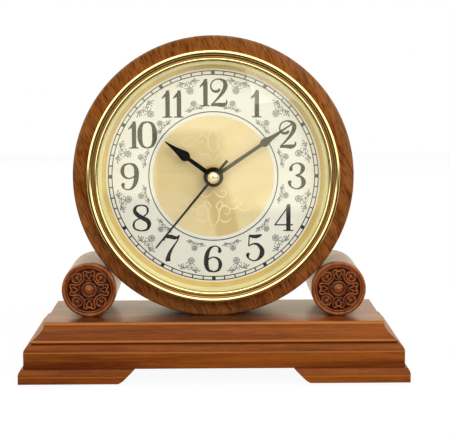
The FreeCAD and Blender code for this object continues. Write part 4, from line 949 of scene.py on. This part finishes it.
for points in half_watermark:
    for side in (1, -1):
        scroll = [(side * across, up, width * WATERMARK_LINE) for across, up, width in points]
        watermark.append(printed(stroke(scroll, True, 6), lift=WATERMARK_LIFT))
make("dial_watermark", watermark, pale_ink, rings=(True, False))

# %% [markdown]
# The hands are stamped from sheet: a straight stem that swells to a drop near its end and runs out in a
# fine point, with a round boss. A flat outline with a thickness would do from the front. Here a half width
# at a few places along a hand gives its outline, and the middle of the blade stands a little higher than
# its edges, as a stamped edge does, which catches a thin line of light.

# %% Hands


def blade(outline, turn, low, high):
    """Half widths along a hand as a closed strip that points clockwise from twelve. Each row of the
    section lies a share of the half width to one side, and the rows in the middle stand highest."""
    line = smooth([(*point, 0.0) for point in outline], 10)[:, :2]
    along, half = line[:, 0], np.maximum(line[:, 1], 0.02)
    section = [(-1, low), (-1, high - 0.12), (-0.72, high), (0.72, high), (1, high - 0.12), (1, low)]
    rows = []
    for side, front in section:
        x = side * half
        across = x * math.cos(turn) + along * math.sin(turn)
        up = AXIS_Z - x * math.sin(turn) + along * math.cos(turn)
        rows.append(np.stack([across, np.full_like(across, DIAL_Y - front), up], axis=-1))
    grid = np.stack(rows)
    ends = [np.repeat(grid[:, place].mean(axis=0)[None, None], len(section), axis=0) for place in (0, -1)]
    return np.concatenate([ends[0], grid, ends[1]], axis=1)


def boss(inside, outside, low, high):
    """A flat ring round the dial's axis with an eased edge."""
    line = profile([(inside, low), (outside, low), (outside, high), (inside, high)], 0.15)
    return turned(line, plane=DIAL_Y, steps=72)


hands = [
    ("hour_hand", "hour_group", 306.5, (2.2, 5.7),
     [(3.6, 1.35), (9.0, 1.3), (16.4, 1.15), (17.5, 1.35), (18.3, 2.2), (19.4, 2.85), (20.8, 2.95),
      (22.6, 2.5), (25.6, 1.75), (29.2, 1.0), (33.9, 0.4), (34.2, 0.2)]),
    ("minute_hand", "setting_group", 56.0, (1.5, 5.6),
     [(3.6, 1.15), (12.0, 1.1), (31.6, 1.0), (33.0, 1.2), (33.8, 1.95), (34.8, 2.4), (36.0, 2.4),
      (37.6, 1.95), (40.4, 1.3), (48.0, 0.6), (55.0, 0.35), (55.3, 0.2)]),
    ("second_hand", "seconds_group", 219.4, (0.5, 2.6),
     [(-12.2, 0.5), (-11.9, 0.8), (-4.0, 0.75), (0.0, 0.75), (20.0, 0.65), (40.0, 0.55), (51.7, 0.45),
      (52.1, 0.2)]),
]
for node, group, degrees, hub, outline in hands:
    front, rear = (DIAL_Y - corner[1] for corner in box(node))
    strip = blade(outline, math.radians(degrees), (rear + front) / 2, front)
    make(node + "_stamped", [strip], black_metal, body=group, rings=(True, False))
    make(node + "_boss", [boss(*hub, rear, front)], black_metal, [node], group)

# %% [markdown]
# A small polished dome is pressed on the second hand's arbor and covers the three bosses. A squashed sphere
# would come near it, but its rim would be round, so it is a cap of a sphere over a short cylinder, turned
# like the glass.

# %% Hand cap
CAP_RADIUS, CAP_RISE = 3.45, 1.9
cap_front, cap_back = (DIAL_Y - corner[1] for corner in box("hand_cap"))
cap_line = np.concatenate([dome(CAP_RADIUS, CAP_RISE, cap_front - CAP_RISE, 16)[::-1],
                           [(CAP_RADIUS, cap_back), (0.0, cap_back)]])
make("hand_cap_domed", [turned(cap_line, plane=DIAL_Y, steps=72)], polished, ["hand_cap"],
     "seconds_group", rings=(False, True))

# %% [markdown]
# The discs on the rolls are carved: a thick bead and a thin one round a sunk ground with scrolls, leaves
# and a domed boss. They could be sculpted by hand, but a carving that repeats is better worked out: it is a
# height at every point of the disc, the highest of a few forms. First come the scrolls. They repeat in
# eight mirrored parts, so a point is folded into one of them, and its distance to a few curves there gives
# the height.

# %% Carving: scrolls and leaves
GROUND, NOTHING = -2.2, -9.0
scrolls = [
    ([(0.00, 0.655), (0.05, 0.645), (0.09, 0.69), (0.155, 0.695), (0.205, 0.63), (0.185, 0.50), (0.19, 0.40),
      (0.235, 0.31), (0.31, 0.235)], 0.044, 1.6),
    ([(0.00, 0.40), (0.045, 0.46), (0.075, 0.54), (0.13, 0.52)], 0.040, 1.2),
    ([(0.00, 0.335), (0.08, 0.34), (0.14, 0.385)], 0.032, 0.9),
]


def near(x, z, points, steps=6):
    """Distance from every point of the grid to a smooth line: the least of those to its short spans. On a
    span it is measured to the foot of the point's plumb line, kept between the span's ends."""
    line = smooth([(*point, 0.0) for point in points], steps)[:, :2]
    start, run = line[:-1], np.diff(line, axis=0)
    size = (run * run).sum(axis=1)
    aside, above = x[..., None] - start[:, 0], z[..., None] - start[:, 1]
    share = np.clip((aside * run[:, 0] + above * run[:, 1]) / size, 0, 1)
    return np.hypot(aside - share * run[:, 0], above - share * run[:, 1]).min(axis=-1)


def rounded(gap, half, height):
    """The height of a round moulding at a gap from its middle line: its full height times the root of 1
    less the square of gap over half width."""
    return height * np.sqrt(np.clip(1 - (gap / half) ** 2, 0, 1))


def leaf_work(x, z):
    """The highest of scrolls, eyes and leaves over the ground, at places in shares of the disc's radius."""
    across, high = np.abs(x), np.abs(z)
    fold_x, fold_z = np.minimum(across, high), np.maximum(across, high)
    forms = [rounded(near(fold_x, fold_z, points), half, tall) for points, half, tall in scrolls]
    forms.append(rounded(np.hypot(fold_x - 0.095, fold_z - 0.605), 0.050, 1.5))
    along, beside = (fold_x + fold_z) / math.sqrt(2) - 0.622, (fold_z - fold_x) / math.sqrt(2)
    oval = np.sqrt((along / 0.155) ** 2 + (beside / 0.185) ** 2)
    forms.append(rounded((oval - 1) * 0.165, 0.042, 1.5))
    forms.append(np.where(oval < 1, 0.9 * (1 - oval) + rounded(beside, 0.045, 0.8) * (along < 0.07), 0))
    curl = np.hypot(along - 0.02, beside - 0.085)
    forms.append(rounded(curl - 0.038, 0.028, 1.0))
    return GROUND + np.maximum(np.max(forms, axis=0), 0)


halfway = leaf_work(np.zeros(1), np.full(1, 0.5))
print("carving half way up the disc lies at", round(float(halfway[0]), 2), "mm")

# %% [markdown]
# The turned forms of the same disc are rings about its middle: the rim bead, the thin bead, a collar, the
# boss and its nipple. Each is a round moulding on a foot of its own level, and nothing outside it. The
# surface is a polar grid, dense enough to show the scrolls, and keeps its depth for the painted shade.

# %% Carved discs
RIM, DISC_BACK = 0.05, ROLL_Y - rosette_high[1]
beads = [(0.93, 0.07, -1.2, 1.2), (0.825, 0.04, -1.7, 0.9), (0.25, 0.055, GROUND, 1.0),
         (0.0, 0.205, GROUND + 0.2, 1.25), (0.0, 0.09, -1.1, 0.95)]


def carved_disc(centre_x, rows=150, columns=400):
    """Leaf work and beads, whichever is higher, on rings of a polar grid, closed by a rim and a back."""
    share = np.linspace(0, 1, rows)[:, None]
    angle = np.linspace(0, 2 * np.pi, columns, endpoint=False)[None, :]
    height = leaf_work(share * np.sin(angle), share * np.cos(angle))
    for middle, half, level, tall in beads:
        gap = share - middle
        bead = np.where(np.abs(gap) < half, level + rounded(gap, half, tall), NOTHING)
        height = np.maximum(height, bead)
    depth = np.clip((height - GROUND) / -GROUND, 0, 1)
    reach = share * (ROLL_RADIUS - RIM)
    across, up = centre_x + reach * np.sin(angle), ROLL_Z + reach * np.cos(angle)
    grid = np.stack([across, ROLL_Y - height, up], axis=-1)
    rear = np.stack([across[-1], np.full(columns, ROLL_Y - DISC_BACK), up[-1]], axis=-1)[None]
    centre = np.tile([centre_x, ROLL_Y - DISC_BACK, ROLL_Z], (1, columns, 1))
    return np.concatenate([grid, rear, centre]), np.concatenate([depth, depth[-2:] * 0 + 0.5])


for name, side in (("left_rosette", -1), ("right_rosette", 1)):
    disc, depth = carved_disc(side * ROLL_X)
    disc[..., 2] = np.maximum(disc[..., 2], BOARD_TOP)
    make(name + "_carved", [disc], carved, [name], rings=(False, True), crisp=70,
         relief=depth)

# %% [markdown]
# Nodes of the frame whose shape is right, such as the movement, the pads and the back cover, keep their
# mesh. They could be dressed one by one, but the record names a slot for each node, and each slot has one
# of the finishes above, so a loop swaps their plain materials.

# %% Finishes for the nodes that stay
outer_finishes = {"walnut_lacquer": base_wood, "carved_walnut": carved, "face_veneer": veneer,
                  "polished_gold": polished, "satin_gold": satin, "silver_dial": silver,
                  "clear_glass": glass, "black_hands": black_metal}
finishes = {**outer_finishes, **inner_finishes}
for row in frame["record"]["subparts"]:
    materials = frame["nodes"][row["node"]].data.materials
    materials.clear()
    materials.append(finishes[row["material_slot"]].material)

# %% [markdown]
# The camera stands where the picture was taken from: nearly in front of the dial, a little above it and far
# away, with a long lens, so the top of the base shows as a thin strip. It could be aimed by a constraint,
# but its turn, tilt and roll are known as angles, in radians, so its three axes are worked out from them.
# The lens is known as a length in pixels of a picture 450 wide, and the sensor turns it into millimetres.

# %% Camera
IMAGE_WIDTH, FOCAL, SENSOR = 450, 1331.43, 36.0
YAW, PITCH, ROLL = -0.01094, 0.11859, -0.00356
EYE = np.array([-1.778, -777.754, 180.74])


def standing(axes, place):
    """A matrix that turns X, Y and Z to three axes and moves the origin to a place in metres."""
    turn = np.stack(axes, axis=1).tolist()
    return Matrix([[*row, spot] for row, spot in zip(turn, place)] + [[0, 0, 0, 1]])


ahead = np.array([-math.sin(YAW) * math.cos(PITCH), math.cos(YAW) * math.cos(PITCH), -math.sin(PITCH)])
level = np.array([math.cos(YAW), math.sin(YAW), 0.0])
above = np.cross(level, ahead)
right = math.cos(ROLL) * level + math.sin(ROLL) * above
upward = -math.sin(ROLL) * level + math.cos(ROLL) * above
camera = bpy.data.objects.new("camera", bpy.data.cameras.new("camera"))
bpy.context.scene.collection.objects.link(camera)
camera.matrix_world = standing([right, upward, -ahead], (EYE * MM).tolist())
camera.data.sensor_width = SENSOR
camera.data.sensor_fit = "HORIZONTAL"
camera.data.lens = FOCAL / IMAGE_WIDTH * SENSOR
camera.data.clip_start = 0.05
bpy.context.scene.camera = camera
bpy.context.scene.view_settings.view_transform = "Standard"
print("lens", round(camera.data.lens, 1), "mm")

# %% [markdown]
# What polished metal, lacquer and the domed glass show is mostly the room. Walls and soft boxes could be
# built, but then every lamp would have to be balanced with them. So the room is written by direction: white
# behind the clock, a warm bright wall in front that fades in above the table, a brighter soft box high up,
# and dark below. aside and slope say how far a direction leans to the side and upwards. Glass mirrors
# sharply and shows the room's edges, so it gets a wall of its own, with a clear lower edge and a dark
# upright screen just left of the camera. Its reflection keeps the hour hand black in the glass while the
# numerals above look pale.

# %% The room, by direction
WALL_LEVEL, SOFTBOX_LEVEL, BEHIND_LEVEL, SKY_LEVEL = 2.2, 1.0, 0.95, 0.26
GLASS_LEVEL, PANE_LEVEL = 0.8, 4.3
WHITE = (1.0, 1.0, 1.0, 1.0)
world = bpy.data.worlds.new("studio")
bpy.context.scene.world = world
world.use_nodes = True
room = Tree(world.node_tree)
looking = room.node("ShaderNodeTexCoord", output="Generated")
across, depth, height = (room.node("ShaderNodeSeparateXYZ", {}, {"Vector": looking}, name) for name in "XYZ")
front = -depth
aside = across / front.or_more(0.05)
slope = height / front.or_more(0.05)
dark_screen = aside.ramp(-0.31, -0.26) * (1.0 - aside.ramp(0.0, 0.10)) * (1.0 - slope.ramp(0.11, 0.17))
pane_wall = (slope + aside * 0.09).ramp(-0.27, -0.19) * (1.0 - slope.ramp(0.45, 0.51)) * (1.0 - dark_screen)
wall = slope.ramp(-0.15, 0.03) * (1.0 - dark_screen)
softbox = slope.ramp(0.60, 0.95) * (1.0 - slope.ramp(2.2, 2.8))
is_front = front.ramp(-0.02, 0.12)
behind = 1.0 - is_front
room_level = is_front * (0.05 + wall * (WALL_LEVEL + softbox * SOFTBOX_LEVEL)) + behind * BEHIND_LEVEL
pane_level = is_front * (0.03 + pane_wall * PANE_LEVEL) + behind * BEHIND_LEVEL
through_glass = is_front * (0.04 + wall * GLASS_LEVEL + softbox * SOFTBOX_LEVEL) + behind
print("the wall in front is", WALL_LEVEL, "times white, the one that glass mirrors", PANE_LEVEL)

# %% [markdown]
# Each kind of ray then takes its own part of the room. Soft mirror rays, off lacquer and satin metal, see
# the room, and sharp ones, off the glass, its own wall. Rays that have passed the glass see a calmer room,
# diffuse light comes from an even dim sky, and camera rays that miss everything see plain white. One
# level for all of them would be simpler, but then a bright background would also wash out the wood.

# %% What each ray sees
mirrored, sharp = room.ray("Is Glossy Ray"), room.ray("Is Singular Ray")
through = room.ray("Is Transmission Ray")
mirror_level = sharp * pane_level + (1.0 - sharp) * room_level
lighting = mirror_level * mirrored + (1.0 - mirrored) * SKY_LEVEL
plain = room.ray("Is Camera Ray")
strength = plain + (1.0 - plain) * (through * through_glass + (1.0 - through) * lighting)
front_colour = room.blend(sharp, (1.0, 0.89, 0.60, 1.0), (1.0, 0.89, 0.54, 1.0))
room_colour = room.blend(is_front, (1.0, 0.86, 0.66, 1.0), front_colour)
tint = room.blend((1.0 - plain) * (1.0 - through) * mirrored, WHITE, room_colour)
sky = room.node("ShaderNodeBackground", {}, {"Color": tint, "Strength": strength})
room.node("ShaderNodeOutputWorld", {}, {"Surface": sky})
print("nodes in the room:", len(room.tree.nodes))

# %% [markdown]
# The table is a white sheet. A plain white surface would come out grey at its far end, so it is shown
# almost as pure white to the camera and mixed with a lit surface, and the object keeps its soft shadow.
# Mirror rays pass it by and take the room instead.

# %% Floor
FLOOR_REACH = 1.8
floor_mesh = bpy.data.meshes.new("studio_floor")
corners = [(x * FLOOR_REACH, y * FLOOR_REACH, 0) for x, y in ((-1, -1), (1, -1), (1, 1), (-1, 1))]
floor_mesh.from_pydata(corners, [], [(0, 1, 2, 3)])
floor_object = bpy.data.objects.new("studio_floor", floor_mesh)
bpy.context.scene.collection.objects.link(floor_object)
floor_object.visible_glossy = False
paper = Finish("white_table", (0.9, 0.9, 0.9, 1.0), 0.9, specular_ior_level=0.0)
direct = paper.ray("Is Camera Ray").or_more(paper.ray("Is Transmission Ray"))
paper.share_with(paper.node("ShaderNodeEmission", {}, {"Color": WHITE, "Strength": 1.04}), direct * 0.9)
floor_mesh.materials.append(paper.material)
print("the table is", 2 * FLOOR_REACH, "m wide")

# %% [markdown]
# Four soft boxes give the form light: a large key in front, above and to the right, a weaker fill from the
# left, a top light and one from behind. Only their diffuse light is wanted, since the room is what shines
# in the lacquer, so they stay out of the mirror rays. Each is given by its place and the point that it
# aims at, which is easier to read than angles.

# %% Lamps


def soft_box(name, place, aim, width, height, power):
    """A rectangular lamp at a place, aimed at a point, both in metres. It shines along its own Z axis,
    backwards, so that axis runs from the aim to the lamp, and its X axis lies level."""
    lamp = bpy.data.lights.new(name, "AREA")
    lamp.shape, lamp.size, lamp.size_y, lamp.energy = "RECTANGLE", width, height, power
    holder = bpy.data.objects.new(name, lamp)
    bpy.context.scene.collection.objects.link(holder)
    back = np.array(place, float) - np.array(aim, float)
    back /= np.linalg.norm(back)
    side = np.cross([0.0, 0.0, 1.0], back)
    side /= np.linalg.norm(side)
    holder.matrix_world = standing([side, np.cross(back, side), back], place)
    holder.visible_glossy = False
    print(name, power, "W")


soft_box("key_box", (0.75, -1.15, 1.0), (0.0, 0.0, 0.11), 1.2, 0.9, 13.0)
soft_box("fill_box", (-0.9, -1.2, 0.5), (0.0, 0.0, 0.11), 1.0, 0.9, 1.4)
soft_box("back_box", (-0.35, 1.3, 0.9), (0.0, 0.0, 0.1), 1.3, 0.9, 7.0)
soft_box("top_box", (0.0, -0.1, 1.5), (0.0, 0.0, 0.1), 1.4, 1.2, 6.2)
